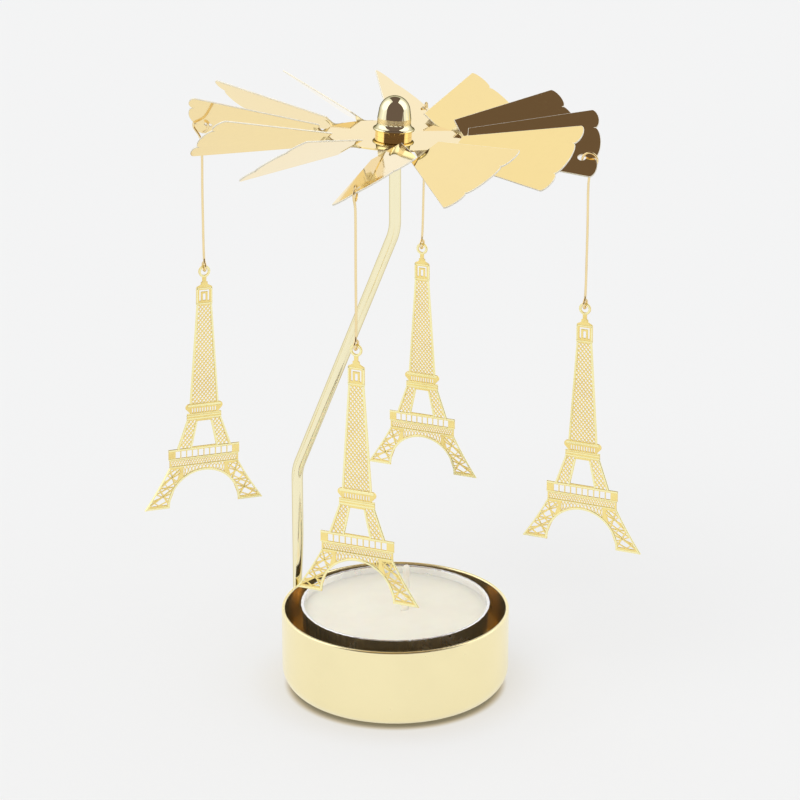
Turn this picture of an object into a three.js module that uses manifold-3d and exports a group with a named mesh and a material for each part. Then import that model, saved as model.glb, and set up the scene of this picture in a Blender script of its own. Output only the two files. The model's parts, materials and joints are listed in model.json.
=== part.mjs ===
// A candle carousel in millimetres, +Z up, with the origin at the middle of the cup's underside.
// A pressed cup holds a tealight. A bent wire arm stands on the cup's wall and ends in a needle point
// over the flame. A twelve-bladed rotor hangs on that point under a small bell cap and turns in the
// warm air, with four lattice tower charms on wire hangers below it.

import * as THREE from "three";
import { mergeVertices } from "three/addons/utils/BufferGeometryUtils.js";
import Module from "manifold-3d";

const wasm = await Module();
wasm.setup();

// Clearances shared by the pieces
const SEAT_GAP = 0.3;
const CUT_OVERRUN = 1;
const MERGE_DISTANCE = 1e-4;

// Cup
const CUP_RADIUS = 22.8;
const CUP_HEIGHT = 16.8;
const CUP_WALL = 0.7;
const CUP_FLOOR = 0.7;
const CUP_EDGE_RADIUS = 4.4;

// Tealight
const TEALIGHT_CLEARANCE = 3.1;
const TEALIGHT_RIM_OVERHANG = 0.4;
const TEALIGHT_HEIGHT = 16.6;
const TEALIGHT_EDGE_RADIUS = 1.2;
const TEALIGHT_RIM_DEPTH = 0.5;
const FOIL = 0.3;
const WAX_BELOW_RIM = 1.5;
const WAX_DISH = 0.35;
const WICK_RADIUS = 0.8;
const WICK_EXPOSED = 9.4;
const WICK_BEND = 2.3;
const WICK_MIDWAY_SHARE = 0.35;
const WICK_SWERVE_SHARE = 0.25;
const SUSTAINER_RADIUS = 6;
const SUSTAINER_PLATE = 0.4;
const SUSTAINER_COLLAR_WALL = 0.4;
const SUSTAINER_COLLAR_HEIGHT = 3;

// Support arm
const ARM_RADIUS = 1.13;
const ARM_AZIMUTH_DEG = 146.6;
const ARM_FOOT_Z = 5;
const ARM_SINK = 0.5;
const ARM_FIRST_ELBOW_Z = 41;
const ARM_SECOND_ELBOW_Z = 95;
const ARM_BEND_RADIUS = 9;
const ARM_POINT_LENGTH = 4;
const ARM_POINT_TIP_RADIUS = 0.12;
const ARM_POINT_SINK = 0.03;
const FOOT_PAD_WIDTH = 2.5;
const FOOT_PAD_DEPTH = 1.5;
const FOOT_PAD_HEIGHT = 23;
const FOOT_PAD_TAPER = 5;
const FOOT_PAD_TIP_SHARE = 0.5;

// Rotor
const DISC_Z = 113.6;
const SHEET = 0.3;
const BLADES = 12;
const BLADE_PITCH_DEG = 33.6;
const BLADE_HALF_ANGLE_DEG = 13.2;
const BLADE_FIRST_AZIMUTH_DEG = -125.2;
const BLADE_CORNER_RADIUS = 38.2;
const LOBE_RISE = 1;
const LOBE_EDGE_SHARES = [-1, -0.46, 0.46, 1];
const LOBE_STEPS = 6;
const DISC_RADIUS = 13;
const DISC_HOLE_RADIUS = 2.4;
const NECK_WIDTH = 3.4;
const NECK_LENGTH = 1.4;
const NECK_OVERLAP = 1.2;
const LEAN_DEG = 3.4;
const LEAN_DOWNHILL_AZIMUTH_DEG = 33;
// How far each blade is bent up at its root, in degrees, from the front left one round to the left
const BLADE_SETS_DEG = [2.4, -0.5, 0.9, 5.1, 2.8, 2.3, 2.8, 0.2, 1.4, 2.5, 3.3, 3.1];

// Hub cap and its seat
const CAP_BALL_RADIUS = 2.98;
const CAP_HEIGHT = 7.3;
const CAP_SKIRT_RADIUS = 3.35;
const CAP_SKIRT_RISE = 0.8;
const CAP_BRIM_RADIUS = 3.95;
const CAP_BRIM_DEPTH = 0.5;
const CAP_COLLAR_RADIUS = 3.5;
const CAP_COLLAR_HEIGHT = 0.7;
const CAP_WALL = 0.4;
const SEAT_RADIUS = 1.3;
const SEAT_DEPTH = 1;
const SEAT_TOP_SHARE = 0.75;
const SEAT_CHAMFER_SHARE = 0.33;
const SEAT_DIMPLE_RADIUS = 0.7;
const SEAT_DIMPLE_DEPTH = 0.5;

// Hanger wires
const WIRE_RADIUS = 0.225;
const HANGER_BLADES = [2, 5, 8, 11];
const HANGER_DROP = 28.2;
const HANGER_HOLE_RADIUS = 0.75;
const HANGER_BRIDGE = 1.5;
const TOP_EYE_RADIUS = 1.42;
const TOP_EYE_DEG = [252, -40];
const LOW_EYE_RADIUS = 0.82;
const LOW_EYE_DEG = [52, -242];
const EYE_STEPS = 10;
// Where the wire leaves each eye, across and along it from the eye's middle, as shares of its radius
const TOP_NECK_SHARES = [[0.25, -1.4], [0, -2.2]];
const LOW_NECK_SHARES = [[0, 2.6], [0.2, 1.5]];
// How far each hanger leans as it rests, its foot towards -X, by the blade that it hangs on
const HANGER_LEANS_DEG = { 2: 0, 5: 0.5, 8: 1.4, 11: 0 };

// Charms; each depth share is of the height from the ring's middle down to the feet
const CHARM_SHEET = 0.35;
const CHARM_HEIGHT = 48.5;
const RING_OUTER_RADIUS = 1.2;
const RING_HOLE_RADIUS = 0.75;
const RING_NECK_WIDTH = 0.8;
const LANTERN_WIDTH = 3.3;
const LANTERN_TOP_SHARE = 0.058;
const SHAFT_TOP_SHARE = 0.138;
const SHAFT_TOP_WIDTH = 3.15;
const SHAFT_FOOT_WIDTH = 6;
const UPPER_DECK_TOP_SHARE = 0.558;
const UPPER_DECK_WIDTH = 7.75;
const UPPER_DECK_END_SHARE = 0.25;
const MIDDLE_TOP_SHARE = 0.626;
const MIDDLE_TOP_WIDTH = 7.15;
const MIDDLE_FOOT_WIDTH = 11.3;
const MIDDLE_GAP_TOP_WIDTH = 2.75;
const MIDDLE_GAP_FOOT_WIDTH = 5.1;
const LOWER_DECK_TOP_SHARE = 0.747;
const LOWER_DECK_WIDTH = 14.85;
const LEGS_TOP_SHARE = 0.827;
const LEGS_TOP_WIDTH = 14.6;
const FEET_WIDTH = 24.9;
const ARCH_SHARE = 0.865;
const LEG_SPREAD_SHARES = [0.85, 0.15];
const CHARM_BAR = 0.42;
const NET_BAR = 0.28;
const SHAFT_CELLS = [2, 9];
const MIDDLE_CELLS = [1, 3];
const FRIEZE_CELLS = [13, 1];
const FRIEZE_SHARES = [0.64, 0.95];
const DECK_WINDOWS = 10;
const WINDOW_SHARES = [0.12, 0.49];
const DECK_END = 1.35;
const LEG_PANEL_SHARES = [0.1, 0.52, 0.94];
const LEG_INNER_SHARE = 0.6;
const CHARM_YAWS_DEG = { 2: -23.6, 5: -25.6, 8: -24.7, 11: 23.5 };
const CHARM_ROLLS_DEG = { 2: 0, 5: -0.4, 8: -0.2, 11: 1.5 };
const CHARM_PLACES = { 2: "front", 5: "right", 8: "back", 11: "left" };

// Worked out from the sizes above
const UP = new THREE.Vector3(0, 0, 1);
const TEALIGHT_RIM_RADIUS = CUP_RADIUS - CUP_WALL - TEALIGHT_CLEARANCE;
const TEALIGHT_BODY_RADIUS = TEALIGHT_RIM_RADIUS - TEALIGHT_RIM_OVERHANG;
const TEALIGHT_FLOOR_Z = CUP_FLOOR + SEAT_GAP;
const TEALIGHT_RIM_Z = TEALIGHT_FLOOR_Z + TEALIGHT_HEIGHT;
const WAX_TOP_Z = TEALIGHT_RIM_Z - WAX_BELOW_RIM;
const SUSTAINER_Z = TEALIGHT_FLOOR_Z + FOIL + SEAT_GAP;
const ARM_FOOT_RADIUS = CUP_RADIUS + SEAT_GAP + ARM_RADIUS - ARM_SINK;
const BLADE_ROOT_RADIUS = DISC_RADIUS + NECK_LENGTH;
const LANTERN_TOP = CHARM_HEIGHT * LANTERN_TOP_SHARE;
const SHAFT_TOP = CHARM_HEIGHT * SHAFT_TOP_SHARE;
const UPPER_DECK_TOP = CHARM_HEIGHT * UPPER_DECK_TOP_SHARE;
const MIDDLE_TOP = CHARM_HEIGHT * MIDDLE_TOP_SHARE;
const LOWER_DECK_TOP = CHARM_HEIGHT * LOWER_DECK_TOP_SHARE;
const LEGS_TOP = CHARM_HEIGHT * LEGS_TOP_SHARE;
const ARCH_RADIUS = (CHARM_HEIGHT - LEGS_TOP) * ARCH_SHARE;
const CAP_FOOT_RISE = SHEET / 2 + SEAT_GAP;
const CAP_INNER_RADIUS = CAP_BALL_RADIUS - CAP_WALL;
const CAP_INNER_DROP = CAP_INNER_RADIUS - Math.sqrt(CAP_INNER_RADIUS ** 2 - SEAT_RADIUS ** 2);
const SEAT_TOP_RISE = CAP_FOOT_RISE + CAP_HEIGHT - CAP_WALL - CAP_INNER_DROP - SEAT_GAP;
const SEAT_FOOT_RISE = SEAT_TOP_RISE - SEAT_DEPTH;
const PIVOT_RISE = SEAT_FOOT_RISE + SEAT_DIMPLE_DEPTH - SEAT_GAP;
const PIVOT_Z = DISC_Z + PIVOT_RISE;

const GOLD = { color: 0xe8cf8a, metalness: 1, roughness: 0.18 };
const SATIN_GOLD = { color: 0xeadfb4, metalness: 1, roughness: 0.38 };
const ROD_GOLD = { color: 0xeee2b6, metalness: 1, roughness: 0.3 };
const ALUMINIUM = { color: 0xd9d9db, metalness: 1, roughness: 0.25 };
const BRASS = { color: 0xc9a552, metalness: 1, roughness: 0.35 };
const WAX = { color: 0xf2eee1, metalness: 0, roughness: 0.45 };
const COTTON = { color: 0xefe6d2, metalness: 0, roughness: 0.9 };
const TINPLATE = { color: 0xb9bcc0, metalness: 1, roughness: 0.4 };

const rad = THREE.MathUtils.degToRad;

// A closed geometry as a solid that can be joined and cut
function solid(geometry) {
  const bare = geometry.clone();
  for (const name of Object.keys(bare.attributes)) {
    if (name !== "position") bare.deleteAttribute(name);
  }
  const merged = mergeVertices(bare, MERGE_DISTANCE);
  return new wasm.Manifold(new wasm.Mesh({
    numProp: 3,
    vertProperties: new Float32Array(merged.attributes.position.array),
    triVerts: new Uint32Array(merged.index.array),
  }));
}

// A solid back as a geometry
function geometryOf(manifold) {
  const mesh = manifold.getMesh();
  const geometry = new THREE.BufferGeometry();
  geometry.setAttribute("position", new THREE.BufferAttribute(mesh.vertProperties, 3));
  geometry.setIndex(new THREE.BufferAttribute(mesh.triVerts, 1));
  geometry.computeVertexNormals();
  return geometry;
}

function join(geometries) {
  return geometries.map(solid).reduce((whole, next) => whole.add(next));
}

// A solid of revolution about Z from [radius, height] pairs
function turned(profile, segments) {
  const points = profile.map(([radius, height]) => new THREE.Vector2(radius, height));
  return new THREE.LatheGeometry(points, segments).rotateX(Math.PI / 2);
}

// Points [radius, height] on an arc between two angles in degrees
function arc(centreRadius, centreHeight, radius, fromDeg, toDeg, steps) {
  return Array.from({ length: steps + 1 }, (_, i) => {
    const angle = rad(fromDeg + ((toDeg - fromDeg) * i) / steps);
    return [centreRadius + radius * Math.cos(angle), centreHeight + radius * Math.sin(angle)];
  });
}

// A round bar along a curve
function bar(curve, radius, steps, sides) {
  const section = new THREE.Shape(arc(0, 0, radius, 0, 360, sides).slice(1)
    .map(([x, y]) => new THREE.Vector2(x, y)));
  return new THREE.ExtrudeGeometry(section, { extrudePath: curve, steps, curveSegments: 1 });
}

// Runs of points joined by round bends, as points for a smooth curve
function roundedRoute(corners, bendRadius, steps) {
  const route = [corners[0]];
  for (let i = 1; i < corners.length - 1; i += 1) {
    const before = corners[i - 1].clone().sub(corners[i]).normalize();
    const after = corners[i + 1].clone().sub(corners[i]).normalize();
    const setback = bendRadius / Math.tan(before.angleTo(after) / 2);
    const bend = new THREE.QuadraticBezierCurve3(
      corners[i].clone().addScaledVector(before, setback),
      corners[i],
      corners[i].clone().addScaledVector(after, setback),
    );
    route.push(...bend.getPoints(steps));
  }
  route.push(corners[corners.length - 1]);
  return route;
}

function polyline(points) {
  const path = new THREE.CurvePath();
  for (let i = 1; i < points.length; i += 1) {
    path.add(new THREE.LineCurve3(points[i - 1], points[i]));
  }
  return path;
}

function piece(name, geometry, finish, parent) {
  const mesh = new THREE.Mesh(geometry, new THREE.MeshStandardMaterial(finish));
  mesh.name = name;
  parent.add(mesh);
  return mesh;
}

// The pressed cup with a rounded bottom edge and a rounded lip
function cupGeometry() {
  const lip = CUP_WALL / 2;
  const innerEdge = CUP_EDGE_RADIUS - CUP_WALL;
  return turned([
    [0, 0],
    ...arc(CUP_RADIUS - CUP_EDGE_RADIUS, CUP_EDGE_RADIUS, CUP_EDGE_RADIUS, -90, 0, 5),
    ...arc(CUP_RADIUS - lip, CUP_HEIGHT - lip, lip, 0, 180, 3),
    ...arc(CUP_RADIUS - CUP_EDGE_RADIUS, CUP_FLOOR + innerEdge, innerEdge, 0, -90, 3),
    [0, CUP_FLOOR],
  ], 40);
}

// The thin aluminium cup of the tealight, with a turned-out rim
function tealightCupGeometry() {
  const floor = TEALIGHT_FLOOR_Z;
  const edge = TEALIGHT_EDGE_RADIUS;
  const body = TEALIGHT_BODY_RADIUS;
  return turned([
    [0, floor],
    ...arc(body - edge, floor + edge, edge, -90, 0, 2),
    [body, TEALIGHT_RIM_Z - TEALIGHT_RIM_DEPTH],
    [TEALIGHT_RIM_RADIUS, TEALIGHT_RIM_Z - TEALIGHT_RIM_DEPTH],
    [TEALIGHT_RIM_RADIUS, TEALIGHT_RIM_Z - FOIL / 2],
    [TEALIGHT_RIM_RADIUS - FOIL / 2, TEALIGHT_RIM_Z],
    [body - FOIL, TEALIGHT_RIM_Z],
    ...arc(body - edge, floor + edge, edge - FOIL, 0, -90, 2),
    [0, floor + FOIL],
  ], 32);
}

// The wax, with a bore for the wick and a wider one for the sustainer's collar
function waxGeometry() {
  const radius = TEALIGHT_BODY_RADIUS - FOIL - SEAT_GAP;
  const foot = SUSTAINER_Z + SUSTAINER_PLATE + SEAT_GAP;
  const edge = TEALIGHT_EDGE_RADIUS;
  const collar = WICK_RADIUS + SUSTAINER_COLLAR_WALL + 2 * SEAT_GAP;
  const collarTop = SUSTAINER_Z + SUSTAINER_PLATE + SUSTAINER_COLLAR_HEIGHT + SEAT_GAP;
  return turned([
    [collar, foot],
    [radius - edge, foot],
    [radius, foot + edge],
    [radius, WAX_TOP_Z],
    [radius - WAX_DISH, WAX_TOP_Z],
    [radius - edge, WAX_TOP_Z - WAX_DISH],
    [WICK_RADIUS + SEAT_GAP, WAX_TOP_Z - WAX_DISH],
    [WICK_RADIUS + SEAT_GAP, collarTop],
    [collar, collarTop],
    [collar, foot],
  ], 32);
}

// The tin plate that holds the wick upright on the floor of the tealight
function sustainerGeometry() {
  const bore = WICK_RADIUS + SEAT_GAP;
  const collar = bore + SUSTAINER_COLLAR_WALL - SEAT_GAP;
  const plateTop = SUSTAINER_Z + SUSTAINER_PLATE;
  return turned([
    [0, SUSTAINER_Z],
    [SUSTAINER_RADIUS, SUSTAINER_Z],
    [SUSTAINER_RADIUS, plateTop],
    [collar + SEAT_GAP, plateTop],
    [collar + SEAT_GAP, plateTop + SUSTAINER_COLLAR_HEIGHT],
    [bore, plateTop + SUSTAINER_COLLAR_HEIGHT],
    [bore, plateTop],
    [0, plateTop],
  ], 24);
}

// The wick stands in its collar and leans over above the wax
function wickGeometry() {
  const foot = SUSTAINER_Z + SUSTAINER_PLATE + SEAT_GAP;
  const top = WAX_TOP_Z - WAX_DISH;
  const route = new THREE.CatmullRomCurve3([
    new THREE.Vector3(0, 0, foot),
    new THREE.Vector3(0, 0, (foot + top) / 2),
    new THREE.Vector3(0, 0, top),
    new THREE.Vector3(WICK_BEND * WICK_MIDWAY_SHARE, 0, top + WICK_EXPOSED / 2),
    new THREE.Vector3(WICK_BEND, WICK_BEND * WICK_SWERVE_SHARE, top + WICK_EXPOSED),
  ], false, "centripetal");
  return bar(route, WICK_RADIUS, 14, 8);
}

// The arm: up the cup's wall, over to the middle and up to the needle point
function armGeometry() {
  const shoulder = PIVOT_Z - ARM_POINT_LENGTH;
  const corners = [
    new THREE.Vector3(ARM_FOOT_RADIUS, 0, ARM_FOOT_Z),
    new THREE.Vector3(ARM_FOOT_RADIUS, 0, ARM_FIRST_ELBOW_Z),
    new THREE.Vector3(0, 0, ARM_SECOND_ELBOW_Z),
    new THREE.Vector3(0, 0, shoulder),
  ];
  const rod = bar(polyline(roundedRoute(corners, ARM_BEND_RADIUS, 5)), ARM_RADIUS, 36, 10);
  const point = new THREE.CylinderGeometry(ARM_POINT_TIP_RADIUS, ARM_RADIUS, ARM_POINT_LENGTH, 10)
    .rotateX(Math.PI / 2).translate(0, 0, shoulder + ARM_POINT_LENGTH / 2 - ARM_POINT_SINK);
  const wall = new THREE.CylinderGeometry(
    CUP_RADIUS + SEAT_GAP, CUP_RADIUS + SEAT_GAP, 2 * FOOT_PAD_HEIGHT, 96,
  ).rotateX(Math.PI / 2).translate(0, 0, ARM_FOOT_Z);
  return geometryOf(join([rod, point, footPad()]).subtract(solid(wall)))
    .rotateZ(rad(ARM_AZIMUTH_DEG));
}

// The flattened foot of the arm, which meets the cup's wall
function footPad() {
  const half = FOOT_PAD_WIDTH / 2;
  const tip = half * FOOT_PAD_TIP_SHARE;
  const outline = new THREE.Shape([
    new THREE.Vector2(-half, 0),
    new THREE.Vector2(half, 0),
    new THREE.Vector2(half, FOOT_PAD_HEIGHT - FOOT_PAD_TAPER),
    new THREE.Vector2(tip, FOOT_PAD_HEIGHT),
    new THREE.Vector2(-tip, FOOT_PAD_HEIGHT),
    new THREE.Vector2(-half, FOOT_PAD_HEIGHT - FOOT_PAD_TAPER),
  ]);
  return new THREE.ExtrudeGeometry(outline, { depth: FOOT_PAD_DEPTH, bevelEnabled: false })
    .rotateX(Math.PI / 2).rotateZ(Math.PI / 2)
    .translate(CUP_RADIUS, 0, ARM_FOOT_Z);
}

// The angle of blade number k about the rotor's axis
function bladeAngle(k) {
  return rad(BLADE_FIRST_AZIMUTH_DEG + ((k - 1) * 360) / BLADES);
}

// Where blade k lies in the rotor: turned to its place, bent up at the root and pitched
function bladeMatrix(k) {
  const pitched = new THREE.Matrix4().makeRotationX(rad(BLADE_PITCH_DEG));
  const set = new THREE.Matrix4().makeTranslation(BLADE_ROOT_RADIUS, 0, 0)
    .multiply(new THREE.Matrix4().makeRotationY(-rad(BLADE_SETS_DEG[k - 1])))
    .multiply(new THREE.Matrix4().makeTranslation(-BLADE_ROOT_RADIUS, 0, 0));
  return new THREE.Matrix4().makeRotationZ(bladeAngle(k)).multiply(set).multiply(pitched);
}

// A point of the flat blade, at a share of its half angle from its middle line along X
function bladePoint(radius, share) {
  const angle = rad(BLADE_HALF_ANGLE_DEG) * share;
  return new THREE.Vector2(radius * Math.cos(angle), radius * Math.sin(angle));
}

// The outer edge of a blade: lobes that rise from the corner circle, each as half an ellipse
function lobedEdge() {
  return LOBE_EDGE_SHARES.slice(1).flatMap((to, lobe) => Array.from({ length: LOBE_STEPS }, (_, i) => {
    const turn = (Math.PI * i) / LOBE_STEPS;
    const share = THREE.MathUtils.lerp(LOBE_EDGE_SHARES[lobe], to, (1 - Math.cos(turn)) / 2);
    return bladePoint(BLADE_CORNER_RADIUS + LOBE_RISE * Math.sin(turn), share);
  }));
}

// The flat outline of a blade beyond its neck
function bladeOutline() {
  return new THREE.Shape([
    ...lobedEdge(),
    bladePoint(BLADE_CORNER_RADIUS, 1),
    bladePoint(BLADE_ROOT_RADIUS, 1),
    bladePoint(BLADE_ROOT_RADIUS, -1),
  ]);
}

// The middle of the strip of sheet between a hanger's hole and the notch outside it, on the flat blade
function bridgeMiddle() {
  const middle = bladePoint(BLADE_CORNER_RADIUS - HANGER_BRIDGE / 2, LOBE_EDGE_SHARES[1]);
  return new THREE.Vector3(middle.x, middle.y, 0);
}

function bladeSheet(k) {
  const outline = bladeOutline();
  if (HANGER_BLADES.includes(k)) {
    const bridge = bridgeMiddle();
    const reach = bridge.length() - HANGER_BRIDGE / 2 - HANGER_HOLE_RADIUS;
    const hole = bridge.clone().setLength(reach);
    outline.holes.push(new THREE.Path().absarc(hole.x, hole.y, HANGER_HOLE_RADIUS, 0, 2 * Math.PI, true));
  }
  return new THREE.ExtrudeGeometry(outline, { depth: SHEET, bevelEnabled: false, curveSegments: 6 })
    .translate(0, 0, -SHEET / 2)
    .applyMatrix4(bladeMatrix(k));
}

// The neck that turns from the flat disc into the pitched blade
function bladeNeck(k) {
  const neck = new THREE.BoxGeometry(NECK_LENGTH + 2 * NECK_OVERLAP, NECK_WIDTH, SHEET, 6, 1, 1)
    .translate(DISC_RADIUS + NECK_LENGTH / 2, 0, 0);
  const place = neck.getAttribute("position");
  const point = new THREE.Vector3();
  for (let i = 0; i < place.count; i += 1) {
    point.fromBufferAttribute(place, i);
    const turn = THREE.MathUtils.smoothstep(point.x, DISC_RADIUS, BLADE_ROOT_RADIUS);
    point.applyAxisAngle(new THREE.Vector3(1, 0, 0), turn * rad(BLADE_PITCH_DEG));
    place.setXYZ(i, point.x, point.y, point.z);
  }
  return neck.applyMatrix4(new THREE.Matrix4().makeRotationZ(bladeAngle(k)));
}

function rotorGeometry() {
  const disc = new THREE.CylinderGeometry(DISC_RADIUS, DISC_RADIUS, SHEET, 72).rotateX(Math.PI / 2);
  const hole = new THREE.CylinderGeometry(
    DISC_HOLE_RADIUS, DISC_HOLE_RADIUS, SHEET + 2 * CUT_OVERRUN, 24,
  ).rotateX(Math.PI / 2);
  const blades = Array.from({ length: BLADES }, (_, i) => [bladeNeck(i + 1), bladeSheet(i + 1)]).flat();
  return geometryOf(join([disc, ...blades]).subtract(solid(hole)));
}

// The bell cap: a ball on a short skirt that flares into a brim above a narrower collar
function capGeometry() {
  const ball = CAP_HEIGHT - CAP_BALL_RADIUS;
  const brimTop = CAP_COLLAR_HEIGHT + CAP_BRIM_DEPTH;
  const skirt = brimTop + CAP_SKIRT_RISE;
  return turned([
    [CAP_COLLAR_RADIUS, 0],
    [CAP_COLLAR_RADIUS, CAP_COLLAR_HEIGHT],
    [CAP_BRIM_RADIUS, CAP_COLLAR_HEIGHT],
    [CAP_BRIM_RADIUS, brimTop],
    [CAP_SKIRT_RADIUS, skirt],
    ...arc(0, ball, CAP_BALL_RADIUS, 0, 90, 5),
    ...arc(0, ball, CAP_INNER_RADIUS, 90, 0, 4),
    [CAP_SKIRT_RADIUS - CAP_WALL, skirt],
    [CAP_COLLAR_RADIUS - CAP_WALL, 0],
    [CAP_COLLAR_RADIUS, 0],
  ], 24).translate(0, 0, CAP_FOOT_RISE);
}

// The small bearing seat in the top of the cap, with a dimple for the needle point
function seatGeometry() {
  return turned([
    [0, SEAT_FOOT_RISE + SEAT_DIMPLE_DEPTH],
    [SEAT_DIMPLE_RADIUS, SEAT_FOOT_RISE],
    [SEAT_RADIUS, SEAT_FOOT_RISE],
    [SEAT_RADIUS, SEAT_TOP_RISE - SEAT_DEPTH * SEAT_CHAMFER_SHARE],
    [SEAT_RADIUS * SEAT_TOP_SHARE, SEAT_TOP_RISE],
    [0, SEAT_TOP_RISE],
  ], 20);
}

// A hanger from its top eye, round the bridge in the blade, down to the eye that holds the charm's ring.
// The top eye's middle is the origin, out is the way from the rotor's axis and face the charm's normal.
function hangerGeometry(out, face) {
  const at = (side, across, height) => new THREE.Vector3()
    .addScaledVector(side, across).addScaledVector(UP, height);
  const top = arc(0, 0, TOP_EYE_RADIUS, ...TOP_EYE_DEG, EYE_STEPS);
  const low = arc(0, -HANGER_DROP, LOW_EYE_RADIUS, ...LOW_EYE_DEG, EYE_STEPS);
  const route = [
    ...top.map(([across, height]) => at(out, across, height)),
    ...TOP_NECK_SHARES.map(([across, along]) => at(out, across * TOP_EYE_RADIUS, along * TOP_EYE_RADIUS)),
    at(out, 0, -HANGER_DROP / 2),
    ...LOW_NECK_SHARES.map(([across, along]) => at(
      face, across * LOW_EYE_RADIUS, along * LOW_EYE_RADIUS - HANGER_DROP,
    )),
    ...low.map(([across, height]) => at(face, across, height)),
  ];
  return bar(new THREE.CatmullRomCurve3(route, false, "centripetal"), WIRE_RADIUS, 72, 6);
}

// The right half of the charm's outline below its ring, as [half width, depth below the ring's middle]
function charmSide() {
  const deckEnd = (MIDDLE_TOP - UPPER_DECK_TOP) * UPPER_DECK_END_SHARE;
  return [
    [RING_NECK_WIDTH / 2, LANTERN_TOP],
    [LANTERN_WIDTH / 2, LANTERN_TOP + CHARM_BAR],
    [LANTERN_WIDTH / 2, SHAFT_TOP],
    [SHAFT_TOP_WIDTH / 2, SHAFT_TOP],
    [SHAFT_FOOT_WIDTH / 2, UPPER_DECK_TOP],
    [UPPER_DECK_WIDTH / 2 - deckEnd, UPPER_DECK_TOP],
    [UPPER_DECK_WIDTH / 2, UPPER_DECK_TOP + deckEnd],
    [UPPER_DECK_WIDTH / 2, MIDDLE_TOP - deckEnd],
    [MIDDLE_TOP_WIDTH / 2, MIDDLE_TOP],
    [MIDDLE_FOOT_WIDTH / 2, LOWER_DECK_TOP],
    [LOWER_DECK_WIDTH / 2, LOWER_DECK_TOP],
    [LOWER_DECK_WIDTH / 2, LEGS_TOP],
    [LEGS_TOP_WIDTH / 2, LEGS_TOP],
    [legOuter(1 / 2), (LEGS_TOP + CHARM_HEIGHT) / 2],
    [FEET_WIDTH / 2, CHARM_HEIGHT],
  ];
}

// Half the width over the legs at a share of their height, a little hollow on the way down
function legOuter(share) {
  const [steady, growing] = LEG_SPREAD_SHARES;
  return THREE.MathUtils.lerp(LEGS_TOP_WIDTH / 2, FEET_WIDTH / 2, steady * share + growing * share ** 2);
}

function charmOutline() {
  const side = charmSide();
  const neckDeg = THREE.MathUtils.radToDeg(Math.acos(RING_NECK_WIDTH / 2 / RING_OUTER_RADIUS));
  const outline = [
    ...arc(0, 0, RING_OUTER_RADIUS, -neckDeg, 180 + neckDeg, 14),
    ...side.map(([x, depth]) => [-x, -depth]),
    ...arc(0, -CHARM_HEIGHT, ARCH_RADIUS, 180, 0, 14),
    ...side.map(([x, depth]) => [x, -depth]).reverse(),
  ];
  return new THREE.Shape(outline.map(([x, height]) => new THREE.Vector2(x, height)));
}

// Flat regions from lists of [across, depth below the ring] points, joined where they overlap
function flat(outlines) {
  return new wasm.CrossSection(outlines.map((points) => points.map(([x, depth]) => [x, -depth])), "NonZero");
}

// The four corners of a straight strip of some width round a line
function strip(from, to, width) {
  const along = new THREE.Vector2(to[0] - from[0], to[1] - from[1]).setLength(width / 2);
  const [x, y] = [-along.y, along.x];
  return [
    [from[0] + x, from[1] + y], [from[0] - x, from[1] - y],
    [to[0] - x, to[1] - y], [to[0] + x, to[1] + y],
  ];
}

// The openings of a net: a panel, from its top left corner clockwise, less its frame and the crossed
// bars in each of its cells
function netGaps(corners, [columns, rows]) {
  const between = (a, b, share) => a.map((value, axis) => THREE.MathUtils.lerp(value, b[axis], share));
  const at = (column, row) => between(
    between(corners[0], corners[1], column / columns),
    between(corners[3], corners[2], column / columns),
    row / rows,
  );
  const frame = corners.map((corner, i) => strip(corner, corners[(i + 1) % corners.length], NET_BAR));
  const bars = Array.from({ length: columns * rows }, (_, i) => {
    const [column, row] = [i % columns, Math.floor(i / columns)];
    return [
      strip(at(column, row), at(column + 1, row + 1), NET_BAR),
      strip(at(column + 1, row), at(column, row + 1), NET_BAR),
    ];
  }).flat();
  return flat([corners]).subtract(flat([...frame, ...bars]));
}

// A panel that is symmetrical across, from half widths and depths at its top and foot
function panel(topHalf, top, footHalf, foot) {
  return [[-topHalf, top], [topHalf, top], [footHalf, foot], [-footHalf, foot]];
}

// The net down the tapering shaft
function shaftGaps() {
  const rail = CHARM_BAR - NET_BAR / 2;
  return netGaps(
    panel(SHAFT_TOP_WIDTH / 2 - rail, SHAFT_TOP, SHAFT_FOOT_WIDTH / 2 - rail, UPPER_DECK_TOP), SHAFT_CELLS,
  );
}

// The open middle between the two decks and the nets on both sides of it
function middleGaps() {
  const [top, foot] = [MIDDLE_TOP + CHARM_BAR, LOWER_DECK_TOP - CHARM_BAR / 2];
  const nets = [-1, 1].map((side) => netGaps([
    [side * (MIDDLE_GAP_TOP_WIDTH / 2 + NET_BAR / 2), top],
    [side * (MIDDLE_TOP_WIDTH / 2 - NET_BAR / 2), top],
    [side * (MIDDLE_FOOT_WIDTH / 2 - CHARM_BAR), foot],
    [side * (MIDDLE_GAP_FOOT_WIDTH / 2 + NET_BAR / 2), foot],
  ], MIDDLE_CELLS));
  return [flat([panel(MIDDLE_GAP_TOP_WIDTH / 2, top, MIDDLE_GAP_FOOT_WIDTH / 2, foot)]), ...nets];
}

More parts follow.
